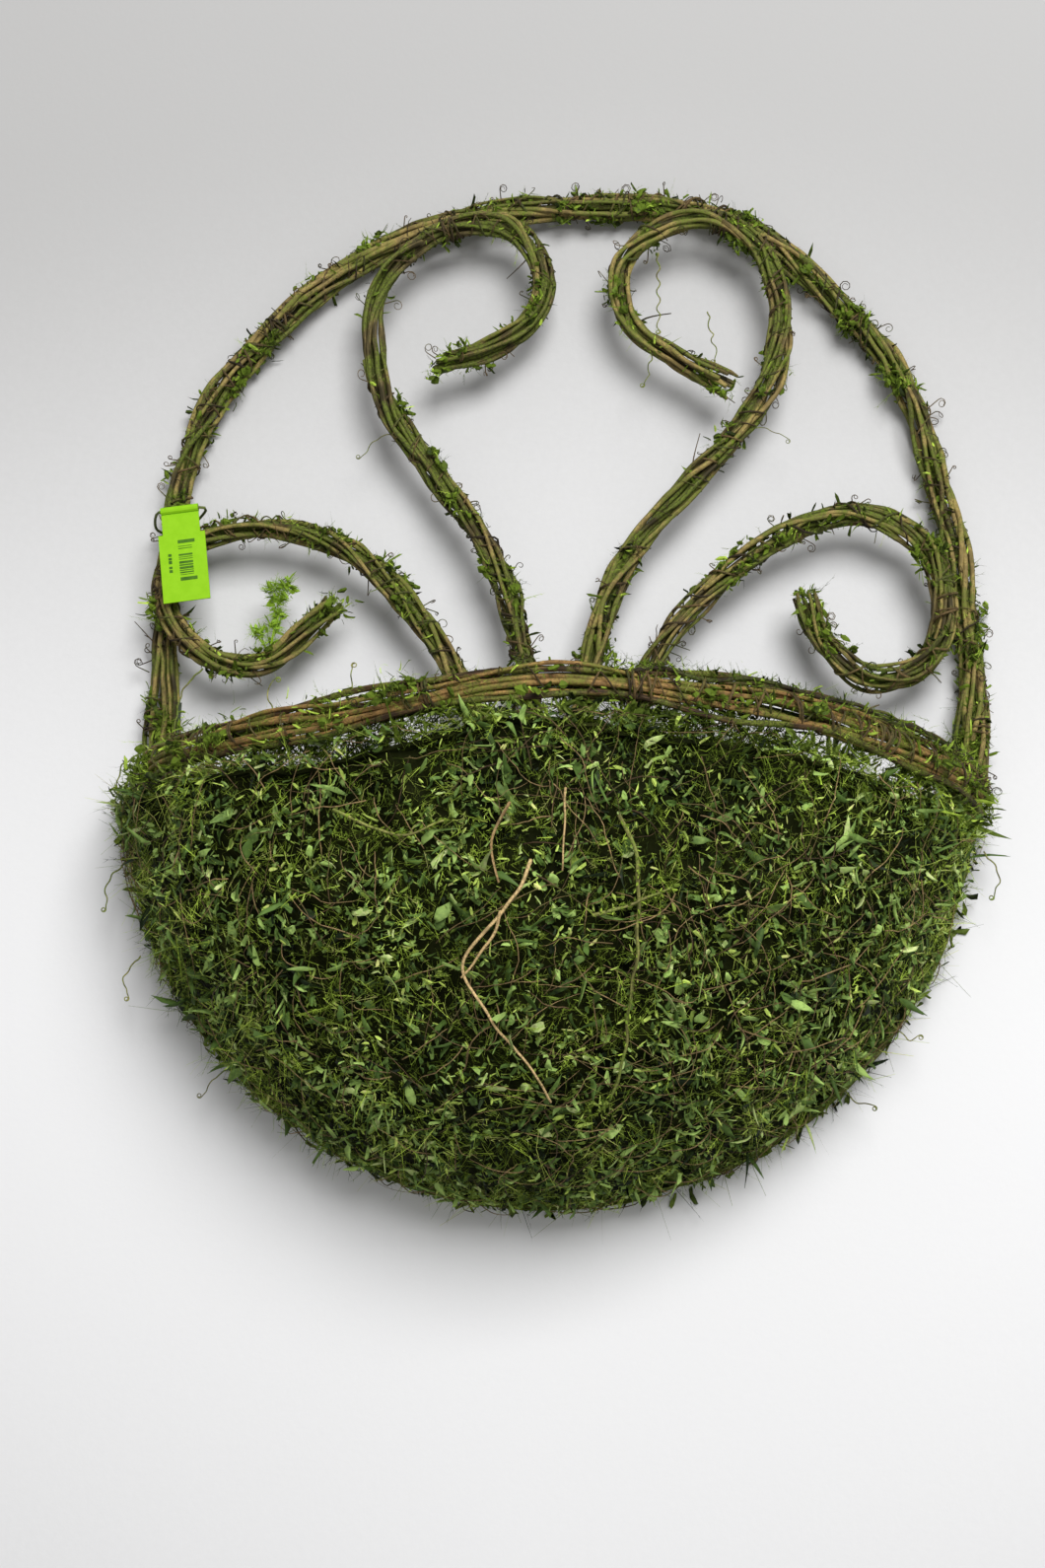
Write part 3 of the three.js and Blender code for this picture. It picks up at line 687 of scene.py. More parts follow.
def sprigs(track, settings, seed, outward):
    # short twigs that stick out, half of them forked
    rng = np.random.default_rng(seed)
    twig = sprigSettings
    n = settings["sprigs"]
    spot, away, along = bundleSpots(track, rng, n, settings["reach"], outward)
    heading = away * rng.uniform(0.25, 1, (n, 1)) + along * rng.uniform(-1, 1, (n, 1))
    heading = unit(heading + rng.normal(0, 0.25, (n, 3)))
    length = np.minimum(rng.gamma(twig["shape"], twig["length"], n), twig["longest"])[:, None]
    step = np.linspace(0, 1, 6)
    bend = rng.normal(0, twig["bend"], (n, 3))
    reach = heading[:, None] * step[:, None] + bend[:, None] * step[:, None] ** 2
    path = spot[:, None] + reach * length[:, None]
    radii = rng.uniform(*twig["radius"], (n, 1)) * (1 - 0.5 * step)
    forked = n // 2
    heading = unit(path[:forked, 4] - path[:forked, 2]) + rng.normal(0, twig["forkSpread"], (forked, 3))
    reach = unit(heading)[:, None] * step[:, None] * length[:forked, None] * twig["forkLength"]
    forks = path[:forked, 3][:, None] + reach
    return [tubes(path, radii, 4, rng.uniform(0, 1, n)),
            tubes(forks, radii[:forked] * twig["forkRadius"], 4, rng.uniform(0, 1, forked))]


def curls(track, settings, seed, outward):
    # coiled climbing tendrils
    rng = np.random.default_rng(seed)
    c = curlSettings
    n = settings["curls"]
    spot, away, along = bundleSpots(track, rng, n, settings["reach"], outward)
    t = np.linspace(0, 1, 19)
    wound = np.clip((t - c["stalkShare"]) / (1 - c["stalkShare"]), 0, 1)
    parts = []
    for k in range(n):
        heading = away[k] * rng.uniform(0.3, 1) + along[k] * rng.uniform(-1, 1)
        heading = unit(heading + rng.normal(0, 0.2, 3))
        across = unit(np.cross(heading, rng.normal(0, 1, 3) + intoRoom * 1.5))
        stalk = rng.uniform(*c["stalk"])
        coil = rng.uniform(*c["coil"])
        angle = wound * rng.uniform(*c["turns"]) * 2 * np.pi
        size = coil * (1 - c["tighten"] * wound)
        line = spot[k] + heading * (stalk * np.minimum(t / c["stalkShare"], 1))[:, None]
        ahead, aside = size * np.sin(angle), coil - size * np.cos(angle)
        loop = heading * ahead[:, None] + across * aside[:, None]
        sideways = np.cross(heading, across) * (rng.uniform(-c["sideways"], c["sideways"]) * t)[:, None]
        line = line + loop * (wound > 0)[:, None] + sideways
        parts.append(oneTube(line, c["radius"] * (1 - 0.5 * t), 4, rng.uniform(0, 1)))
    return parts


def tuftSpots(track, rng, tufts, each, reach, outward=intoRoom):
    # spots gathered in small ragged tufts on a bundle's skin
    spot, away, along = bundleSpots(track, rng, tufts, reach, outward)
    pick = np.repeat(np.arange(tufts), rng.integers(each // 2, each * 2, tufts))
    n = len(pick)
    spot = spot[pick] + along[pick] * rng.normal(0, tuftSettings["alongBundle"], (n, 1))
    spot += rng.normal(0, tuftSettings["scatter"], (n, 3))
    spot += away[pick] * rng.uniform(0, tuftSettings["thick"], (n, 1))
    away = unit(away[pick] + rng.normal(0, tuftSettings["splay"], (n, 3)))
    return spot, away, along[pick]


# small shapes, each modelled once and then copied

def takeShape(piece):
    # the modelled shape's points and triangles, turned from standing up to lying along +Y
    piece.data.calc_loop_triangles()
    points = np.array([v.co for v in piece.data.vertices])
    corners = [np.array(t.vertices) for t in piece.data.loop_triangles]
    triangles = np.array(sorted(tuple(np.roll(c, -np.argmin(c))) for c in corners))    # the same order each run
    bpy.data.objects.remove(piece)
    return np.column_stack([points[:, 0], points[:, 2], -points[:, 1]]), triangles


def leafShape(width, thick, rings, fullest, cup, crumple=0.0, seed=0):
    # a small closed leaf or shred with a raised midrib, standing on its stalk end
    deselectAll()
    bpy.ops.mesh.primitive_uv_sphere_add(segments=4, ring_count=rings, radius=0.5, location=(0, 0, 0))
    leaf = bpy.context.object
    bpy.ops.object.mode_set(mode="EDIT")
    bpy.ops.mesh.select_all(action="SELECT")
    bpy.ops.transform.resize(value=(width, thick, 1))
    bpy.ops.transform.translate(value=(0, 0, 0.5))
    bpy.ops.object.mode_set(mode="OBJECT")
    rng = np.random.default_rng(seed)
    for v in leaf.data.vertices:
        v.co.z = max(v.co.z, 0) ** fullest
        v.co.y += cup * abs(v.co.x)
        v.co.x += rng.uniform(-1, 1) * crumple
        v.co.y += rng.uniform(-1, 1) * crumple * 0.5
        v.co.z += rng.uniform(-1, 1) * crumple
    return takeShape(leaf)


def tornShape(seed):
    # a thin torn leaf with a ragged edge, folded along its midrib
    rng = np.random.default_rng(seed)
    deselectAll()
    bpy.ops.mesh.primitive_grid_add(x_subdivisions=2, y_subdivisions=4, size=1, location=(0, 0, 0))
    leaf = bpy.context.object
    for v in leaf.data.vertices:
        t = v.co.y + 0.5
        wide = math.sin(math.pi * min(max(t, 0.06), 0.95)) ** 0.7 * 0.42
        edge = abs(v.co.x) > 0.45
        x = v.co.x * wide * 2 * (rng.uniform(0.45, 1.25) if edge else 1) * 0.62
        ragged = rng.uniform(-0.10, 0.10) if edge else 0
        v.co = (x, -0.35 * abs(x) + 0.05 * math.sin(5 * t + seed), t + ragged)
    solid = leaf.modifiers.new("thickness", "SOLIDIFY")
    solid.thickness = 0.022
    solid.offset = 0
    bpy.ops.object.modifier_apply(modifier="thickness")
    bpy.ops.object.mode_set(mode="EDIT")
    bpy.ops.mesh.select_all(action="SELECT")
    bpy.ops.mesh.normals_make_consistent(inside=False)
    bpy.ops.object.mode_set(mode="OBJECT")
    return takeShape(leaf)


def frondShape(seed, pairs=4):
    # a feathery sprig of moss: a bent stalk with rows of pointed leaflets
    rng = np.random.default_rng(seed)
    deselectAll()
    bpy.ops.mesh.primitive_cone_add(vertices=3, radius1=0.055, radius2=0, depth=1, location=(0, 0, 0))
    cone = bpy.context.object
    bpy.ops.object.mode_set(mode="EDIT")
    bpy.ops.mesh.select_all(action="SELECT")
    bpy.ops.transform.translate(value=(0, 0, 0.5))
    bpy.ops.transform.resize(value=(1, 0.45, 1), center_override=(0, 0, 0))
    bpy.ops.object.mode_set(mode="OBJECT")
    cone, sides = takeShape(cone)
    stalk = oneTube([[0, 0, 0], [0.02, 1, -0.02]], [0.028, 0.010], 3, 0)
    points = [stalk["verts"]]
    triangles = [tubeTriangles(stalk)]
    base = len(points[0])
    for k in range(pairs * 2):
        t = 0.12 + 0.85 * (k // 2) / (pairs - 1)
        angle = (1 if k % 2 else -1) * rng.uniform(0.6, 1.0)
        rise = rng.uniform(-0.4, 0.5)
        size = (0.40 - 0.18 * t) * rng.uniform(0.8, 1.2)
        c, s = math.cos(angle), math.sin(angle)
        turned = np.column_stack([cone[:, 0] * c + cone[:, 1] * s, cone[:, 1] * c - cone[:, 0] * s,
                                  cone[:, 2] + cone[:, 1] * rise]) * size
        points.append(turned + [0, t, 0])
        triangles.append(sides + base)
        base += len(cone)
    return np.vstack(points), np.vstack(triangles)


fineLeaves = [leafShape(0.34, 0.07, 3, 1.0, 0.3), leafShape(0.25, 0.06, 3, 0.8, -0.2)]
broadLeaves = [leafShape(0.42, 0.05, 4, 1.0, 0.6, 0.07, 1),
               leafShape(0.34, 0.05, 4, 1.2, -0.6, 0.10, 2),
               leafShape(0.50, 0.04, 4, 0.9, 1.0, 0.13, 3),
               leafShape(0.62, 0.05, 4, 0.7, -0.9, 0.16, 4)]
tornLeaves = [tornShape(k) for k in range(1, 5)]
cushion = leafShape(0.75, 0.5, 4, 1.0, 0.0, 0.11, 7)
fronds = [frondShape(k) for k in range(1, 4)]
fibre = oneTube([[0, 0, 0], [0.13, 0.50, 0.10], [-0.16, 0.95, 0.08]], [0.018, 0.015, 0.007], 3, 0)
fibre = (fibre["verts"], tubeTriangles(fibre))
print("small shapes modelled")


def plant(shape, rng, spots, normals, size, lift, bend, tone, flow=None, slim=1.0):
    # copies of one shape at many spots, each with its own turn, size and bend
    points, triangles = shape
    n = len(spots)
    heading = rng.normal(0, 1, (n, 3)) if flow is None else flow + rng.normal(0, 0.5, (n, 3))
    heading = unit(heading - (heading * normals).sum(1, keepdims=True) * normals)
    rise = rng.uniform(*lift, n)[:, None]
    ahead = heading * np.cos(rise) + normals * np.sin(rise)
    above = normals * np.cos(rise) - heading * np.sin(rise)
    side = np.cross(ahead, above)
    roll = rng.normal(0, 0.6, n)[:, None]
    side, above = side * np.cos(roll) + above * np.sin(roll), above * np.cos(roll) - side * np.sin(roll)
    t = points[None, :, 1]
    wide = slim * rng.uniform(0.55, 1.3, (n, 1))
    x = points[None, :, 0] * wide + rng.normal(0, bend, (n, 1)) * t ** 2
    z = points[None, :, 2] * slim + rng.normal(0, bend, (n, 1)) * t ** 2
    size = np.broadcast_to(size, n)[:, None]
    turned = x[..., None] * side[:, None] + t[..., None] * ahead[:, None]
    turned = turned + z[..., None] * above[:, None]
    verts = (spots[:, None] + turned * size[..., None]).reshape(-1, 3)
    faces = triangles[None] + (np.arange(n) * len(points))[:, None, None]
    return {"verts": verts, "faces": [faces.reshape(-1, 3)], "bark": verts,
            "tone": np.repeat(np.broadcast_to(tone, n), len(points))}


def plantMix(shapes, rng, spots, normals, size, lift, bend, tone, flow=None, slim=1.0):
    kind = rng.integers(0, len(shapes), len(spots))
    parts = []
    for k, shape in enumerate(shapes):
        pick = kind == k
        if pick.any():
            parts.append(plant(shape, rng, spots[pick], normals[pick], size[pick], lift, bend,
                               tone[pick], None if flow is None else flow[pick], slim))
    return parts


def scatter(shapes, rng, spots, normals, look, tone=None, flow=None):
    # copies of several shapes with a look: their sizes, how far they lift and bend, how slim and pale
    size = rng.uniform(*look["size"], len(spots))
    if tone is None:
        tone = tones(rng, *look["tone"][:2], len(spots), *look["tone"][2:])
    return plantMix(shapes, rng, spots, normals, size, look["lift"], look["bend"], tone, flow,
                    look.get("slim", 1.0))


def lumps(points, wave, seed):
    # smooth random hills and hollows over space, about -1 to 1
    rng = np.random.default_rng(seed)
    total = np.zeros(len(points))
    for _ in range(7):
        way = unit(rng.normal(0, 1, 3)) * 2 * np.pi / (wave * rng.uniform(0.6, 1.6))
        total += np.sin(points @ way + rng.uniform(0, 6.28))
    return total / 3.2


# the arch and the scrolls
bundleSettings = {"canes": 15, "sides": 6, "splayLength": 0.03,
                  "joints": {"apart": (0.06, 0.1), "wave": 0.02, "uneven": 0.06, "swell": 0.28}}
archSettings = {**bundleSettings, "core": 4, "coreSpread": 0.0024, "spread": 0.0056,
                "radius": (0.0009, 0.0016), "pitch": 0.50, "wander": 0.32, "splay": 0.1, "reach": 0.0066,
                "runs": 26, "sprigs": 18, "curls": 170, "bits": 2600, "leaves": 600, "lean": 0.7,
                "tufts": 66, "tips": 0}
scrollSettings = {**bundleSettings, "core": 5, "coreSpread": 0.0021, "spread": 0.0051,
                  "radius": (0.0009, 0.0015), "pitch": 0.32, "wander": 0.28, "splay": 0.15,
                  "reach": 0.0060, "runs": 10, "sprigs": 8, "curls": 52, "bits": 900, "leaves": 200,
                  "lean": 0.0, "tufts": 19, "tips": 42}
bitLook = {"size": (0.0018, 0.0042), "lift": (-0.1, 0.4), "bend": 0.8, "slim": 1.6,
           "tone": (0.40, 0.26)}
leafLook = {"size": (0.002, 0.0055), "lift": (-0.1, 0.7), "bend": 0.6, "tone": (0.28, 0.22, 0.95)}
tuftLook = {"shape": 4, "size": 0.0006, "least": 0.001, "most": 0.0055, "lift": (-0.2, 0.9),
            "bend": 0.7, "slim": 1.15, "tone": (0.38, 0.19), "top": 0.8}
cushionLook = {"size": (0.0030, 0.0062), "lift": (-0.25, 0.15), "bend": 0.1, "tone": (0.29, 0.10),
               "sunk": 0.0012}


def nearestRun(track, place):
    # how far along the track it passes nearest to [x, height]
    target = np.array([place[0] * mm, rimZ + place[1] * mm])
    return runLength(track)[np.argmin(((track[:, [0, 2]] - target) ** 2).sum(1))]


def cushions(spot, away, along, rng):
    # low mossy pads under every fourth spot of the tufts
    look = cushionLook
    spot, away, along = spot[::4] - away[::4] * look["sunk"], away[::4], along[::4]
    n = len(spot)
    size = rng.uniform(*look["size"], n)
    tone = tones(rng, *look["tone"], n)
    flow = along * rng.choice([-1, 1], (n, 1)) * 2
    return plantMix([cushion], rng, spot, away, size, look["lift"], look["bend"], tone, flow)


def tendrils(track, settings, seed, outward, knots):
    return (windings(track, settings, seed, outward, knots) + sprigs(track, settings, seed + 1, outward)
            + curls(track, settings, seed + 2, outward))


def bundleMoss(track, settings, seed):
    # the fibres, leaf bits, tufts and pads caught in a bundle
    rng = np.random.default_rng(seed + 4)
    n = settings["bits"]
    spot, away, along = bundleSpots(track, rng, n, settings["reach"], cluster=0.022, flat=0.45,
                                    lean=settings["lean"])
    tone = np.clip(rng.normal(*bitLook["tone"], n) + 0.25 * lumps(spot, 0.05, seed), 0, 1)
    flow = along * rng.choice([-1, 1], (n, 1))
    parts = scatter([fibre, fronds[0], fineLeaves[0]], rng, spot, away, bitLook, tone, flow)
    n = settings["leaves"]
    spot, away, along = bundleSpots(track, rng, n, settings["reach"], cluster=0.05, flat=0.7)
    parts += scatter(broadLeaves + fineLeaves, rng, spot, away, leafLook)
    spot, away, along = tuftSpots(track, rng, settings["tufts"], 24, settings["reach"])
    groups = [(spot, away)]
    parts += cushions(spot, away, along, rng)
    if settings["tips"]:
        spot, away, along = bundleSpots(track[-9:], rng, settings["tips"], settings["reach"], flat=0.5)
        groups.append((spot, away))
    look = tuftLook
    for spot, away in groups:
        n = len(spot)
        size = np.minimum(rng.gamma(look["shape"], look["size"], n), look["most"]) + look["least"]
        tone = tones(rng, *look["tone"], n, look["top"])
        parts += plantMix([fronds[1], fineLeaves[0], fibre, fronds[2], broadLeaves[1]], rng, spot, away,
                          size, look["lift"], look["bend"], tone, slim=look["slim"])
    return parts


def dressBundle(prefix, track, settings, seed, knots, canes, ties):
    # one bundle as pieces: its vines, its tendrils, and its moss
    buildPiece(prefix + "_vines", bundleCanes(track, settings, seed), archBark, "basket",
               canes)
    buildPiece(prefix + "_tendrils", tendrils(track, settings, seed + 1, intoRoom, knots), tendrilBark,
               "basket", ties)
    mossPiece(prefix + "_moss", bundleMoss(track, settings, seed), tuftMoss)


archTies = ["arch_tie_left", "arch_tie_top", "arch_tie_right", "arch_foot_lash_left",
            "arch_foot_lash_right"]
archLength, footKnot = runLength(archTrack)[-1], 0.038
archKnots = [share * archLength for share in (0.3, 0.53, 0.7)] + [footKnot, archLength - footKnot]
dressBundle("arch", archTrack, archSettings, 11, archKnots, [f"arch_cane_{k}" for k in range(1, 6)],
            archTies)

contacts = {"outer_left": [-217, 92], "inner_left": [-74, 299], "inner_right": [74, 306],
            "outer_right": [199, 96]}
for number, (name, track) in enumerate(scrollTracks.items()):
    knots = [nearestRun(track, contacts[name]), 0.03]
    dressBundle("scroll_" + name, track, scrollSettings, 101 + 20 * number, knots,
                [f"scroll_{name}_cane_{k}" for k in range(1, 4)],
                ["scroll_tie_" + name, "foot_tie_" + name])


# the rim
rimSettings = {"front": [(-8.3, -3.4), (-6.0, -2.2), (-3.6, -3.6), (-1.4, -1.6), (1.0, -3.2), (3.4, -1.8),
                         (5.8, -3.4), (8.0, -1.6)],      # each vine's lift and inset, in millimetres
               "back": [(-4.5, 3.2), (-1.0, 3.2), (2.5, 3.2), (5.5, 3.2)],
               "radius": (0.0010, 0.0018), "wander": 0.0022, "sway": 0.0006, "narrow": 0.88, "fan": 0.35, "sides": 7,
               "joints": {"apart": (0.07, 0.12), "wave": 0.03, "uneven": 0.07, "swell": 0.25},
               "reach": 0.0070, "runs": 12, "sprigs": 24, "curls": 80, "knots": (0.2, 0.42, 0.58, 0.8)}


def rimCanes(settings, seed):
    # two curtains of vines, one in front of the wire and one behind it, that cross one another slowly
    rng = np.random.default_rng(seed)
    parts = []
    for lift, inset in settings["front"] + settings["back"]:
        back = (lift, inset) in settings["back"]
        track = rimTrack(inset * mm)
        run = runLength(track)
        shift = rng.integers(0, 10)
        track, run = track[shift:len(track) - rng.integers(0, 8)], run[shift:]
        run = run[:len(track)]
        fan = 1 + settings["fan"] * (2 * run / run[-1] - 1) ** 2
        rise = lift * mm * settings["narrow"] * fan + drift(rng, run, 0.16, settings["wander"])
        aside = [drift(rng, run, wave, settings["sway"]) for wave in (0.1, 0.09)]
        track = track + np.column_stack([*aside, rise])
        thick = rng.uniform(*settings["radius"]) * jointed(rng, run, settings["joints"])
        # vines in the back curtain get a low tone: painted shade behind the front ones
        parts.append(oneTube(track, thick, settings["sides"], rng.uniform(0, 0.2 if back else 1)))
    return parts


rimMiddle = rimTrack(-0.0005)
rimOut = np.column_stack([rimMiddle[:, 0] * 0.8, rimMiddle[:, 1] + 0.02, np.zeros(len(rimMiddle))])
rimOut[:, 1] = np.minimum(rimOut[:, 1], -0.005)
rimOut = unit(rimOut)
rimKnots = [share * runLength(rimMiddle)[-1] for share in rimSettings["knots"]]
buildPiece("rim_vines", rimCanes(rimSettings, 31), rimBark, "basket",
           [f"rim_cane_{k}" for k in range(1, 6)])
buildPiece("rim_tendrils", tendrils(rimMiddle, rimSettings, 32, rimOut, rimKnots), tendrilBark,
           "basket", [f"rim_tie_{k}" for k in range(1, 5)])

rimMossSettings = {"bits": 5300, "reach": 0.0062, "rise": 0.0048, "middle": -0.01, "halfWidth": 0.22,
                   "tufts": 90, "each": 17, "tuftReach": 0.0074, "tone": (0.5, 0.2)}
rimBitLook = {"size": (0.0020, 0.0048), "lift": (-0.1, 0.4), "bend": 0.9, "slim": 1.4}
rimTuftLook = {"size": (0.0020, 0.0050), "lift": (-0.1, 0.8), "bend": 0.7, "slim": 1.1,
               "tone": (0.44, 0.19, 0.85)}


def rimMoss(settings, seed):
    # moss caught between the rim's vines, thick at both sides and thin in the middle
    rng = np.random.default_rng(seed)
    n = settings["bits"]
    spot, away, along = bundleSpots(rimMiddle, rng, n, settings["reach"], rimOut, flat=0.4)
    spot[:, 2] += rng.normal(0, settings["rise"], n)
    sideways = np.abs(spot[:, 0] - settings["middle"]) / settings["halfWidth"]
    patch = lumps(spot, 0.035, seed)
    keep = rng.uniform(0, 1, n) < np.clip(0.38 + 0.85 * sideways ** 1.2 + 0.7 * patch, 0.08, 0.98)
    spot, away, along = spot[keep], away[keep], along[keep]
    tone = np.clip(rng.normal(*settings["tone"], len(spot)) + 0.15 * patch[keep], 0, 1)
    flow = along * rng.choice([-1, 1], (len(spot), 1))
    parts = scatter([fibre, fronds[1], fibre, fineLeaves[1]], rng, spot, away, rimBitLook, tone, flow)
    spot, away, along = tuftSpots(rimMiddle, rng, settings["tufts"], settings["each"],
                                  settings["tuftReach"], rimOut)
    keep = rng.uniform(0, 1, len(spot)) < np.clip(0.25 + 4.5 * np.abs(spot[:, 0] - 0.02), 0, 1)
    spot, away = spot[keep], away[keep]
    parts += cushions(spot, away, along[keep], rng)
    shapes = [fronds[0], fineLeaves[0], fronds[2], fibre, broadLeaves[1]]
    return parts + scatter(shapes, rng, spot, away, rimTuftLook)


mossPiece("rim_moss", rimMoss(rimMossSettings, 35), tuftMoss)


# the bowl's moss
matSettings = {"inset": 0.0066, "innerInset": 0.0006, "cuts": 3, "heave": 0.0016, "ledge": 0.045,
               "gapDrop": 0.004}
# where light comes through under the rim: each gap's x and half width
lacyGaps = [(-0.085, 0.045), (0.080, 0.042)]
gapSettings = {"below": 0.036, "fade": 0.012, "frontY": -0.06}


def bowlHills(points):
    return lumps(points, 0.05, 71) * 0.0022 + lumps(points, 0.017, 72) * 0.0020


def gapShare(x):
    return sum(np.exp(-((x - middle) / wide) ** 2) for middle, wide in lacyGaps)


def lacy(points):
    # how thin the moss is at each point: 1 close under the rim in the two gaps, 0 elsewhere
    top = rimZ + np.interp(points[:, 0], rimX, rimHeights)
    near = np.clip((points[:, 2] - top + gapSettings["below"]) / gapSettings["fade"], 0, 1)
    return gapShare(points[:, 0]) * near * (points[:, 1] < gapSettings["frontY"])


def matPiece(name, node, settings, seed):
    # the mat behind the leaves, painted near black as shade where they cover it: the plain solid, drawn in, divided
    # and heaved into lumps
    deselectAll()
    mat = nodes[node].copy()
    mat.data = nodes[node].data.copy()
    mat.parent = None
    mat.name = name
    bpy.context.collection.objects.link(mat)
    mat.hide_render = mat.hide_viewport = False
    bpy.context.view_layer.objects.active = mat
    mat.select_set(True)
    bpy.ops.object.mode_set(mode="EDIT")
    bpy.ops.mesh.select_all(action="SELECT")
    bpy.ops.mesh.remove_doubles(threshold=0.00005)
    bpy.ops.mesh.subdivide(number_cuts=settings["cuts"], smoothness=0)
    bpy.ops.object.mode_set(mode="OBJECT")
    points = np.array([v.co for v in mat.data.vertices])
    normals = np.array([v.normal for v in mat.data.vertices])
    heave = np.clip(bowlHills(points), -settings["heave"], settings["heave"])
    facing = (normals * (points - np.array(bowlCore))).sum(1) > 0
    points += normals * (heave - np.where(facing, settings["inset"], settings["innerInset"]))[:, None]
    points[:, 2] -= settings["gapDrop"] * lacy(points)
    points[:, 1] = np.minimum(points[:, 1], wallY - 0.0008)
    mat.data.vertices.foreach_set("co", points.astype("f").ravel())
    mat.data.attributes.new("tone", "FLOAT", "POINT").data.foreach_set(
        "value", np.clip(0.4 + 0.3 * lumps(points, 0.02, seed), 0, 1).astype("f"))
    mat.data.materials.clear()
    mat.data.materials.append(paintedShadeMoss)
    mat.data.materials.append(sheetMoss)
    # behind the leaves it is painted near black as shade, and where it shows it is like sheet moss
    for face in mat.data.polygons:
        inward = face.normal.dot(face.center - bowlCore) < 0
        inward = inward and face.center.z < rimZ - settings["ledge"]
        face.material_index = int(inward or name == "back_mat")
    mat.data.update()
    finishPiece(mat, "basket", [node])


matPiece("bowl_mat", "moss_front_mat", matSettings, 46)
matPiece("back_mat", "moss_back_mat", {**matSettings, "inset": 0.0028}, 50)


def solidSpots(node, count, seed, choose):
    # random spots on a node's faces by area, with their normals; choose(middle, normal) weighs a face
    mesh = nodes[node].data
    mesh.calc_loop_triangles()
    points = np.array([v.co for v in mesh.vertices])
    corners = points[np.array([t.vertices for t in mesh.loop_triangles])]
    cross = np.cross(corners[:, 1] - corners[:, 0], corners[:, 2] - corners[:, 0])
    area = np.linalg.norm(cross, axis=1) / 2
    normal = unit(cross)
    weight = area * choose(corners.mean(1), normal)
    rng = np.random.default_rng(seed)
    pick = rng.choice(len(area), count, p=weight / weight.sum())
    a, b = rng.uniform(0, 1, (2, count, 1))
    fold = (a + b) > 1
    a, b = np.where(fold, 1 - a, a), np.where(fold, 1 - b, b)
    c = corners[pick]
    return c[:, 0] + a * (c[:, 1] - c[:, 0]) + b * (c[:, 2] - c[:, 0]), normal[pick]


def awayFromCore(points):
    return points - np.array(bowlCore)


def outerFaces(middle, normal):
    return ((unit(awayFromCore(middle)) * normal).sum(1) > 0.15).astype(float) * (middle[:, 1] < -0.002)


def innerFaces(middle, normal):
    return ((unit(awayFromCore(middle)) * normal).sum(1) < -0.15).astype(float)


def padFaces(middle, normal):
    return np.where(normal[:, 1] < -0.5, 0.35, 1.0)


def topFaces(middle, normal):
    return ((normal[:, 2] > 0.4) & (middle[:, 2] > rimZ - 0.06)).astype(float)


def mossCloud(layer):
    # spots through the thickness of the loose outer layer of moss; drifts groups one kind in patches
    count, height = layer["count"], layer["height"]
    spots, normals = solidSpots("moss_front_mat", count * 2, layer["seed"], outerFaces)
    rng = np.random.default_rng(layer["seed"] + 1)
    order = rng.uniform(0, 1, len(spots)) - layer["drifts"] * lumps(spots, 0.035, 75)
    order = np.argsort(order + 0.42 * lacy(spots))[:count]
    spots = spots[order]
    # facet normals eased towards the bowl's own round
    normals = unit(normals[order] * 0.6 + unit(awayFromCore(spots) / [1.0, 0.75, 1.0]) * 0.5)
    depth = rng.uniform(*height, count)
    tuck = lumps(spots, 0.05, 73) * 0.12 + lumps(spots, 0.02, 74) * 0.12 + lumps(spots, 0.009, 76) * 0.14
    spots = spots + normals * (bowlHills(spots) + depth)[:, None]
    # painted light and shade: leaves high in the layer get a paler tone and deep ones a darker one
    light = (depth - height[0]) / (height[1] - height[0])
    tone = np.clip(rng.normal(0.42, 0.23, count) + 0.46 * (light - 0.5) + tuck, 0, 1)
    tone[rng.uniform(0, 1, count) < 0.016] = 1.0      # a few bright leaves
    return rng, spots, normals, tone


# the outer layer, from the smallest kind to the torn leaves: height is how deep each kind sits
frondLayer = {"shapes": fronds, "finish": tuftMoss, "count": 2850, "drifts": -0.35,
              "size": (0.0042, 0.0092),
              "lift": (-0.05, 0.45), "bend": 0.6, "slim": 0.9, "paler": 0.06, "palest": 1.06}
bowlLayers = {
    "bowl_fine_leaves": {"shapes": fineLeaves, "finish": mossLeaf, "count": 7700, "seed": 51,
                         "height": (-0.0090, -0.0015), "drifts": 0.15, "size": (0.0018, 0.0056),
                         "lift": (-0.15, 0.45), "bend": 0.6, "slim": 1.2},
    "bowl_broad_leaves": {"shapes": broadLeaves, "finish": mossBroad, "count": 5300, "seed": 53,
                          "height": (-0.0080, -0.0010), "drifts": 0.3, "size": (0.0016, 0.0054),
                          "lift": (-0.15, 0.5), "bend": 0.6, "slim": 1.3},
    "bowl_fronds_under": {**frondLayer, "seed": 55, "height": (-0.007, -0.001)},
    "bowl_fronds_over": {**frondLayer, "seed": 95, "height": (-0.005, -0.001)},
    "bowl_fibres": {"shapes": [fibre], "finish": mossFibre, "count": 6500, "seed": 57,
                    "height": (-0.007, -0.001), "drifts": -0.2, "size": (0.004, 0.010),
                    "lift": (-0.25, 0.12), "bend": 1.2, "smooth": True},
    "bowl_torn_leaves": {"shapes": tornLeaves, "finish": mossBroad, "count": 1100, "seed": 59,
                         "height": (-0.005, -0.0005), "drifts": 0.3, "size": (0.0045, 0.0095),
                         "lift": (-0.1, 0.5), "bend": 0.8, "paler": 0.04, "smooth": True},
}
for name, layer in bowlLayers.items():
    rng, spots, normals, tone = mossCloud(layer)
    tone = np.minimum(tone + layer.get("paler", 0), layer.get("palest", 1))
    mossPiece(name, scatter(layer["shapes"], rng, spots, normals, layer, tone), layer["finish"],
              layer.get("smooth", False))

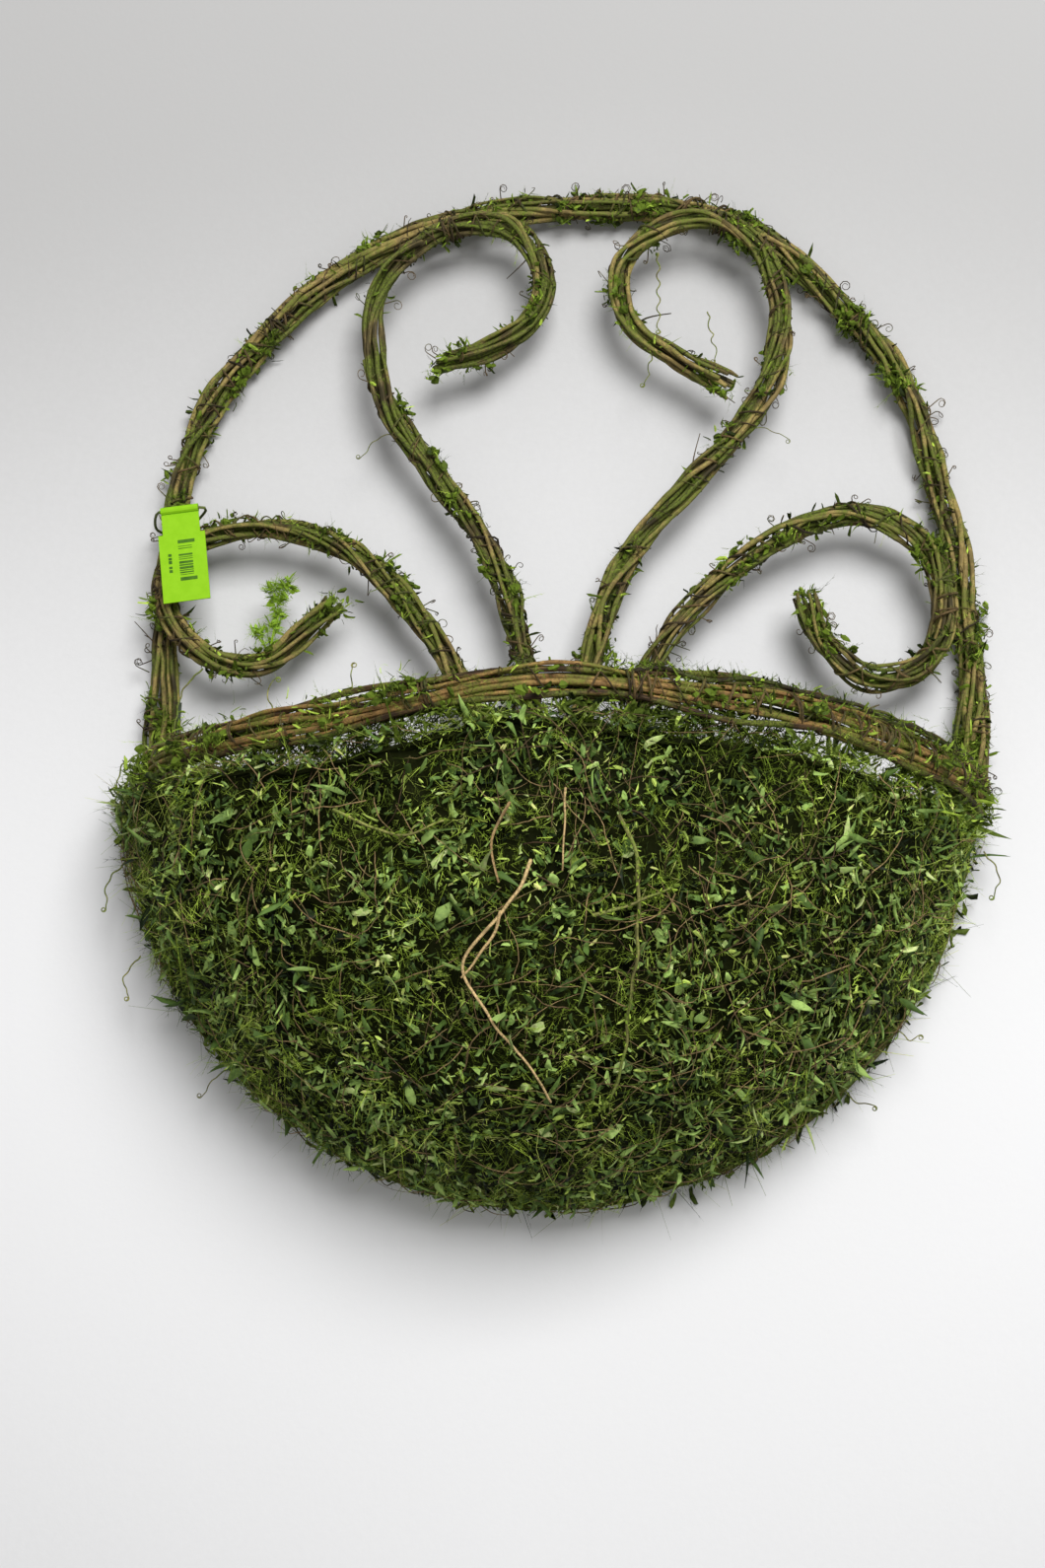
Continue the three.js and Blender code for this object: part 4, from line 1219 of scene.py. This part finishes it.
# plainer moss on faces that are seldom seen: its node, its faces, how many bits, a seed and how deep
sideLayers = {"bowl_inner_moss": ("moss_front_mat", innerFaces, 1300, 61, (-0.0005, 0.0025)),
              "back_moss": ("moss_back_mat", padFaces, 2300, 63, (-0.0022, 0.0012)),
              "bowl_top_moss": ("moss_front_mat", topFaces, 700, 65, (-0.003, 0.006))}
sideLeafLook = {"size": (0.004, 0.009), "lift": (-0.1, 0.5), "bend": 0.3}
sideFibreLook = {"size": (0.004, 0.010), "lift": (-0.1, 0.35), "bend": 0.7}


def sideMoss(node, choose, count, seed, height):
    spots, normals = solidSpots(node, count, seed, choose)
    rng = np.random.default_rng(seed + 1)
    spots = spots + normals * rng.uniform(*height, count)[:, None]
    tone = np.clip(rng.normal(0.32, 0.18, count) + lumps(spots, 0.05, seed) * 0.1, 0, 1)
    half = count // 2
    parts = scatter(fineLeaves + broadLeaves, rng, spots[:half], normals[:half], sideLeafLook,
                    tone[:half])
    return parts + scatter([fibre, fronds[2]], rng, spots[half:], normals[half:], sideFibreLook,
                           tone[half:])


for name, values in sideLayers.items():
    mossPiece(name, sideMoss(*values), mossLeaf)

fringeSettings = {"count": 2300, "below": (0.006, 0.026), "thinning": 0.60, "patches": 0.15,
                  "laceCount": 2000, "laceBelow": (0.008, 0.030), "laceSpread": 0.75,
                  "tone": (0.42, 0.24)}
fringeLook = {"size": (0.004, 0.010), "lift": (-0.3, 0.4), "bend": 0.8}
laceLook = {"size": (0.005, 0.014), "lift": (-0.2, 0.2), "bend": 0.9, "slim": 1.5, "tone": (0.20, 0.2)}


def fringeMoss(settings, seed):
    # loose fibres that close most of the gap under the rim, thinner where light comes through
    rng = np.random.default_rng(seed)
    n = settings["count"]
    track = rimTrack(0.0015)
    pick = rng.integers(2, len(track) - 2, n)
    spots = track[pick] + np.column_stack([rng.normal(0, 0.001, n), rng.uniform(-0.001, 0.006, n),
                                           -rng.uniform(*settings["below"], n)])
    thin = settings["thinning"] * gapShare(spots[:, 0])
    spots = spots[rng.uniform(0, 1, n) > thin + settings["patches"] * lumps(spots, 0.02, seed)]
    normals = unit(np.column_stack([spots[:, 0], spots[:, 1] + 0.02, np.zeros(len(spots))]))
    tone = tones(rng, *settings["tone"], len(spots))
    parts = scatter([fibre, fronds[0], fronds[2], fibre, fineLeaves[0], broadLeaves[1]], rng, spots,
                    normals, fringeLook, tone)
    # a lace of thin dark fibres across the two gaps
    n = settings["laceCount"]
    gap = np.array(lacyGaps)[rng.integers(0, len(lacyGaps), n)]
    x = gap[:, 0] + gap[:, 1] * rng.normal(0, settings["laceSpread"], n)
    order = np.argsort(track[:, 0])
    y = np.interp(x, track[order, 0], track[order, 1])
    top = rimZ + np.interp(x, rimX, rimHeights)
    spots = np.column_stack([x, y + rng.uniform(0, 0.005, n),
                             top - rng.uniform(*settings["laceBelow"], n)])
    normals = unit(np.column_stack([x, y + 0.02, np.zeros(n)]))
    return parts + scatter([fibre, fibre, fibre, fronds[1]], rng, spots, normals, laceLook)


mossPiece("rim_fringe", fringeMoss(fringeSettings, 67), tuftMoss)

# clumps of moss and shoots: [x, y, height above the rim's middle, spread, count], in millimetres
cornerClumps = [[-222, -12, -24, 11, 640], [-206, -60, -24, 9, 350], [216, -12, -18, 9, 500],
                [204, -48, -20, 8, 280],
                [-213, -4, 18, 7, 300], [213, -4, 22, 7, 300], [-209, -6, 6, 6, 220], [209, -6, 8, 6, 220]]
clumpLook = {"size": (0.0025, 0.0062), "lift": (-0.3, 0.9), "bend": 0.7, "tone": (0.42, 0.22)}


def clumpMoss(clumps, seed):
    rng = np.random.default_rng(seed)
    parts = []
    for x, y, height, wide, count in clumps:
        middle = np.array([x * mm, y * mm, rimZ + height * mm])
        spots = middle + rng.normal(0, wide * mm * 0.5, (count, 3))
        spots[:, 0] = np.clip(spots[:, 0], cadBox[0][0] - 0.002, cadBox[1][0] + 0.002)
        spots[:, 1] = np.minimum(spots[:, 1], 0.006)
        normals = unit(rng.normal(0, 0.6, (count, 3)) + [np.sign(x) * 0.5, -0.6, 0.5])
        shapes = [fibre, fronds[0], fronds[1], fineLeaves[1], broadLeaves[0]]
        parts += scatter(shapes, rng, spots, normals, clumpLook)
    return parts


mossPiece("corner_moss", clumpMoss(cornerClumps, 68), tuftMoss)


# rootlets and long stems on the bowl
mesh = nodes["moss_front_mat"].data
mesh.calc_loop_triangles()
triangles = [t.vertices[:] for t in mesh.loop_triangles]
bowlTree = BVHTree.FromPolygons([v.co for v in mesh.vertices], triangles)


def onBowl(x, below, proud):
    # the point on the bowl's front at x and a depth below the rim's middle, both in millimetres
    hit, normal, _, _ = bowlTree.ray_cast(Vector((x * mm, -0.4, rimZ - below * mm)), Vector((0, 1, 0)))
    return hit + normal * proud if hit else Vector((x * mm, -0.02, rimZ - below * mm))


rootSettings = {"count": 520, "length": (0.015, 0.055), "steps": 12, "wander": 0.17,
                "radius": (0.00014, 0.00040), "sunk": -0.002, "arch": 0.004, "looseEvery": 9,
                "looseLift": 0.005}


def rootyFaces(middle, normal):
    # roots gather in two places on the bowl: right of its middle, and under the rim's middle
    low = np.exp(-((middle[:, 0] - 0.075) / 0.06) ** 2 - ((middle[:, 2] - rimZ + 0.125) / 0.04) ** 2)
    high = np.exp(-((middle[:, 0] - 0.02) / 0.03) ** 2 - ((middle[:, 2] - rimZ + 0.045) / 0.02) ** 2)
    return outerFaces(middle, normal) * (1 + 2.2 * low + 3 * high)


def rootletPaths(settings, seed):
    # thin roots that wander over the bowl, lifted a little off it
    rng = np.random.default_rng(seed)
    count, last = settings["count"], settings["steps"] - 1
    spots, normals = solidSpots("moss_front_mat", count, seed + 1, rootyFaces)
    paths, radii = [], []
    for k in range(count):
        length = rng.uniform(*settings["length"])
        heading = rng.normal(0, 1, 3)
        place = spots[k]
        line = []
        for step in range(settings["steps"]):
            hit, normal, _, _ = bowlTree.find_nearest(Vector(place))
            normal = np.array(normal)
            heading = unit(heading - heading @ normal * normal + rng.normal(0, settings["wander"], 3))
            lift = settings["sunk"] + settings["arch"] * math.sin(math.pi * step / last)
            if k % settings["looseEvery"] == 0:
                lift += settings["looseLift"] * (step / last) ** 2
            line.append(np.array(hit) + normal * lift)
            place = np.array(hit) + heading * length / last
        paths.append(line)
        radii.append(rng.uniform(*settings["radius"]) * (1 - 0.5 * np.linspace(0, 1, settings["steps"])))
    return tubes(np.array(paths), np.array(radii), 4, rng.uniform(0, 1, count))


buildPiece("bowl_rootlets", [rootletPaths(rootSettings, 81)], rootBark, "basket")

# long stems as [x, depth below the rim's middle], in millimetres
longStems = [
    ([[-8, 58], [-16, 76], [-12, 92]], 0.8),
    ([[2, 82], [-5, 98], [-24, 120], [-28, 131], [-19, 146], [0, 168], [12, 184]], 0.9),
    ([[-11, 105], [-15, 116], [-29, 133]], 0.8),
    ([[17, 50], [16, 86]], 0.6),
]
mossyStems = [
    ([[40, 60], [49, 78], [50, 116], [48, 134], [44, 166], [39, 182]], 1.0),
    ([[30, 104], [48, 98], [65, 90]], 0.9),
    ([[-90, 60], [-60, 72], [-38, 66]], 0.8),
]
stemSettings = {"tanProud": 2.4, "mossyProud": 1.8, "taper": 0.35, "fuzz": 150, "fuzzReach": 0.0011}
fuzzLook = {"size": (0.0015, 0.003), "lift": (0.2, 1.0), "bend": 0.4, "slim": 1.5, "tone": (0.5, 0.2)}


def stemTube(route, radius, proud, rng):
    bed = smoothTrack([onBowl(x, below, proud * mm) for x, below in route], 0.003)
    run = runLength(bed)
    bed = bed + wobble(rng, run, 0.03, 0.0005)
    thick = radius * mm * (1 - stemSettings["taper"] * run / run[-1])
    return oneTube(bed, thick, 6, rng.uniform(0.3, 1)), bed


rng = np.random.default_rng(83)
stems = [stemTube(route, radius, stemSettings["tanProud"], rng)[0] for route, radius in longStems]
mossPiece("bowl_tan_stems", stems, stemBark, smooth=True)
fuzz, stems = [], []
for route, radius in mossyStems:
    stem, bed = stemTube(route, radius, stemSettings["mossyProud"], rng)
    stems.append(stem)
    spot, away, along = bundleSpots(bed, rng, stemSettings["fuzz"], stemSettings["fuzzReach"], flat=0.6)
    fuzz += scatter([fibre, fineLeaves[0]], rng, spot, away, fuzzLook, flow=along)
mossPiece("bowl_mossy_stems", stems, shootBark, smooth=True)
mossPiece("bowl_stem_fuzz", fuzz, tuftMoss)


# loose green shoots: each route as [x, height above the rim's middle] in millimetres, how wavy it is and
# its radius in millimetres; the rim's own shoots give their y too, in metres
looseShoots = [
    ([[42, 288], [43, 264], [44, 242]], 0.9, 0.45),
    ([[41, 236], [40, 224], [38, 211]], 0.8, 0.4),
    ([[70, 254], [73, 240], [76, 226]], 0.9, 0.4),
    ([[-193, 46], [-203, 33], [-206, 8]], 0.3, 0.55),
    ([[-92, 181], [-106, 178], [-115, 166]], 0.4, 0.35),
    ([[83, 184], [100, 188], [116, 182]], 0.3, 0.3),
    ([[-224, -2], [-233, -10], [-234, -28]], 0.5, 0.5),
    ([[-226, -60], [-235, -72], [-234, -86]], 0.5, 0.5),
    ([[-214, -110], [-222, -122], [-218, -132]], 0.4, 0.45),
    ([[221, -40], [229, -52], [226, -64]], 0.5, 0.45),
    ([[150, -160], [157, -170], [168, -172]], 0.3, 0.45),
    ([[176, -130], [184, -138], [190, -136]], 0.4, 0.4),
    ([[-160, -165], [-170, -172], [-176, -182]], 0.3, 0.4),
    ([[-23, 0], [-21, 12], [-10, 22]], 0.4, 0.45),
    ([[-94, -4], [-88, 1], [-89, 11]], 0.5, 0.4, -0.163),
    ([[-128, -9], [-132, 3], [-128, 9]], 0.4, 0.4, -0.142),
]


shootSettings = {"wave": 0.0095, "waveSize": 0.0011, "straight": 0.004, "y": -0.016, "coil": 0.00132,
                 "coilTurns": 1.3, "points": 90, "coilPoints": 30, "taper": 0.6}


def looseShoot(settings, rng, route, wavy, radius, y=shootSettings["y"]):
    # a thin shoot that waves like a spring and ends in a small coil
    bed = smoothTrack([[x * mm, y, rimZ + z * mm] for x, z in route], 0.0004)
    bed = bed[np.linspace(0, len(bed) - 1, settings["points"]).astype(int)]
    run = runLength(bed)
    along, out, side = crossFrame(bed, intoRoom)
    turn = run / settings["wave"] * 2 * np.pi + drift(rng, run, 0.012, 0.5) + rng.uniform(0, 6)
    size = settings["waveSize"] * wavy * np.minimum(run / settings["straight"], 1)
    path = bed + size[:, None] * around(turn, out, side)
    t = np.linspace(0, 1, settings["coilPoints"])
    coil = settings["coil"] * (1 - 0.5 * t)
    turn = t * settings["coilTurns"] * 2 * np.pi
    ahead, aside = coil * np.sin(turn), coil[0] - coil * np.cos(turn)
    end = path[-1] + along[-1] * ahead[:, None] + side[-1] * aside[:, None]
    path = np.vstack([path, end[1:]])
    thick = radius * mm * np.linspace(1, settings["taper"], len(path))
    return oneTube(path, thick, 5, rng.uniform(0.2, 0.9))


rng = np.random.default_rng(91)
buildPiece("loose_shoots", [looseShoot(shootSettings, rng, *shoot) for shoot in looseShoots],
           shootBark, "basket")

# the bright tuft: its stalks, and its clumps as [x, height], size and count, in millimetres
tuftStalks = [([-157, 56], [-156, 68], [-153, 80]), ([-158, 56], [-163, 63], [-168, 68])]
tuftClumps = [([-151, 92], 5.0, 150), ([-158, 90], 4.6, 120), ([-155, 84], 3.6, 110),
              ([-154, 77], 2.4, 80),
              ([-156, 70], 3.0, 90), ([-164, 66], 4.6, 90), ([-158, 61], 4.0, 70)]
featherLook = {"size": (0.0022, 0.005), "lift": (0.1, 1.2), "bend": 0.6, "slim": 1.3,
               "tone": (0.55, 0.22)}


def featherTuft(seed):
    # feather moss that grows inside the left outer scroll: a stalk, a crown and a low skirt
    rng = np.random.default_rng(seed)
    parts = []
    for route in tuftStalks:
        bed = smoothTrack([[x * mm, scrollY, rimZ + z * mm] for x, z in route], 0.0008)
        parts.append(oneTube(bed, np.linspace(0.0008, 0.0004, len(bed)), 5, 0.5))
    for (x, z), size, count in tuftClumps:
        away = unit(rng.normal(0, 1, (count, 3)) * [1, 0.7, 1] + [0, 0, 0.5])
        spots = np.array([x * mm, scrollY, rimZ + z * mm]) + away * rng.uniform(0, size * mm, (count, 1))
        parts += scatter([fronds[0], fronds[1], fineLeaves[0]], rng, spots, away, featherLook)
    return parts


mossPiece("feather_tuft", featherTuft(93), brightMoss)

# short vines along the arch's feet that cover the wire prongs: each one's [x, y] in millimetres
footVines = [[-211, -4], [-208, -7], [-207, -1], [210, -4], [207, -7], [206, -1], [-213, -9], [212, -9]]
footSettings = {"heights": (-0.012, 0.014, 0.036, 0.058), "leans": (1.5, 0, 2, 6),
                "radius": (0.0011, 0.0017)}


def coverVines(settings, seed):
    rng = np.random.default_rng(seed)
    parts = []
    for x, y in footVines:
        route = [[(x + np.sign(x) * lean) * mm, y * mm, rimZ + height]
                 for lean, height in zip(settings["leans"], settings["heights"])]
        route[-1][1] *= 0.6
        route[-1][2] += rng.uniform(0, 0.02)
        bed = smoothTrack(route, 0.002)
        bed = bed + wobble(rng, runLength(bed), 0.03, 0.0004)
        thick = rng.uniform(*settings["radius"]) * np.linspace(1, 0.6, len(bed))
        parts.append(oneTube(bed, thick, 7, rng.uniform(0, 1)))
    return parts


buildPiece("foot_vines", coverVines(footSettings, 95), archBark, "basket")

rimShootSettings = {"count": 7, "from": 0.03, "lift": 0.006, "fan": 0.0075, "wander": 0.0014,
                    "radius": (0.0006, 0.0012), "leaves": 1300, "leafLift": 0.0085, "leafReach": 0.0035}
shootLeafLook = {"size": (0.002, 0.0046), "lift": (-0.2, 0.7), "bend": 0.8, "tone": (0.30, 0.22)}


def rimShoots(settings, track, seed):
    # thin shoots that ride above the rim's right side and fan out at its end
    rng = np.random.default_rng(seed)
    parts = []
    for _ in range(settings["count"]):
        first = rng.integers(0, len(track) // 3)
        line = track[first:len(track) - rng.integers(0, 6)].copy()
        run = runLength(line)
        share = np.minimum(run / run[-1] * 0.7, 0.5)
        fan = settings["fan"] * np.sin(np.pi * share) * rng.uniform(0.4, 1.1)
        line[:, 2] += settings["lift"] + fan + drift(rng, run, 0.05, settings["wander"])
        line[:, 1] += rng.uniform(-0.001, 0.003)
        thick = rng.uniform(*settings["radius"]) * np.linspace(1, 0.7, len(line))
        parts.append(oneTube(line, thick, 6, rng.uniform(0, 1)))
    return parts


shootTrack = rimTrack(-0.0028)
shootTrack = shootTrack[shootTrack[:, 0] > rimShootSettings["from"]]
buildPiece("rim_shoots", rimShoots(rimShootSettings, shootTrack, 97), tendrilBark, "basket")
rng = np.random.default_rng(98)
lifted = shootTrack + [0, 0, rimShootSettings["leafLift"]]
spot, away, along = bundleSpots(lifted, rng, rimShootSettings["leaves"], rimShootSettings["leafReach"],
                                np.broadcast_to([0.3, -1, 0.2], lifted.shape), flat=0.2)
leaves = scatter([fronds[0], fineLeaves[0], broadLeaves[1], fronds[2], fibre], rng, spot, away,
                 shootLeafLook)
mossPiece("rim_shoot_leaves", leaves, tuftMoss)


# the wires and the tag
nodeFinishes = {"wire": wireFinish, "tag_twist_tie": tieFinish, "price_tag": cardFinish}
for name, node in nodes.items():
    for part, finish in nodeFinishes.items():
        if part in name:
            for slot in node.material_slots:
                slot.material = finish


tagSettings = {"hinge": (-0.2097, -0.02759, -0.1835), "tilt": 9.0, "faceY": -0.00048, "ink": 0.00008,
               "bars": [(0, 1.9), (3.4, 0.3), (4.6, 0.4), (7.9, 1.0), (9.5, 0.4), (10.6, 0.4), (12.0, 1.3),
                        (13.8, 0.8),
                        (15.1, 1.3), (16.9, 0.5), (18.0, 0.7), (19.4, 0.3), (21.0, 1.9)],
               "barWide": 7.5, "guardWide": 9.2, "top": -17.2, "left": -2.4,
               "marks": [(-7.2, -25.2, 1.5), (-7.2, -27.3, 1.3), (-7.2, -29.2, 1.7), (-7.2, -32.2, 1.3),
                         (-7.2, -34.2, 1.6)],
               "markWide": 1.8}


def makeTagBars(settings):
    # a plain block of stripes printed on the card: one bar is modelled, and the rest are copies of it
    deselectAll()
    bpy.ops.mesh.primitive_cube_add(size=1, location=(0, 0, 0))
    bar = bpy.context.object
    bevel = bar.modifiers.new("softEdge", "BEVEL")
    bevel.width = 0.04
    bevel.segments = 2
    bpy.ops.object.modifier_apply(modifier="softEdge")
    points = np.array([v.co for v in bar.data.vertices])
    faces = [tuple(p.vertices) for p in bar.data.polygons]
    bpy.data.objects.remove(bar)
    turn = np.array(Matrix.Rotation(math.radians(-settings["tilt"]), 3, "Y"))
    blocks = []
    for number, (start, thick) in enumerate(settings["bars"]):
        guard = number in (0, len(settings["bars"]) - 1)
        wide = settings["guardWide" if guard else "barWide"]
        blocks.append((settings["left"] + wide / 2, settings["top"] - start - thick / 2, wide, thick))
    blocks += [(x, z, settings["markWide"], thick) for x, z, thick in settings["marks"]]
    verts, allFaces = [], []
    for x, z, wide, thick in blocks:
        place = points * [wide, settings["ink"] / mm, thick] + [x, settings["faceY"] / mm, z]
        allFaces += [tuple(i + len(verts) * len(points) for i in face) for face in faces]
        verts.append(place * mm @ turn.T + settings["hinge"])
    mesh = bpy.data.meshes.new("tag_bars")
    mesh.from_pydata(np.vstack(verts).tolist(), [], allFaces)
    mesh.materials.append(inkFinish)
    piece = bpy.data.objects.new("tag_bars", mesh)
    bpy.context.collection.objects.link(piece)
    finishPiece(piece, "tag")


makeTagBars(tagSettings)
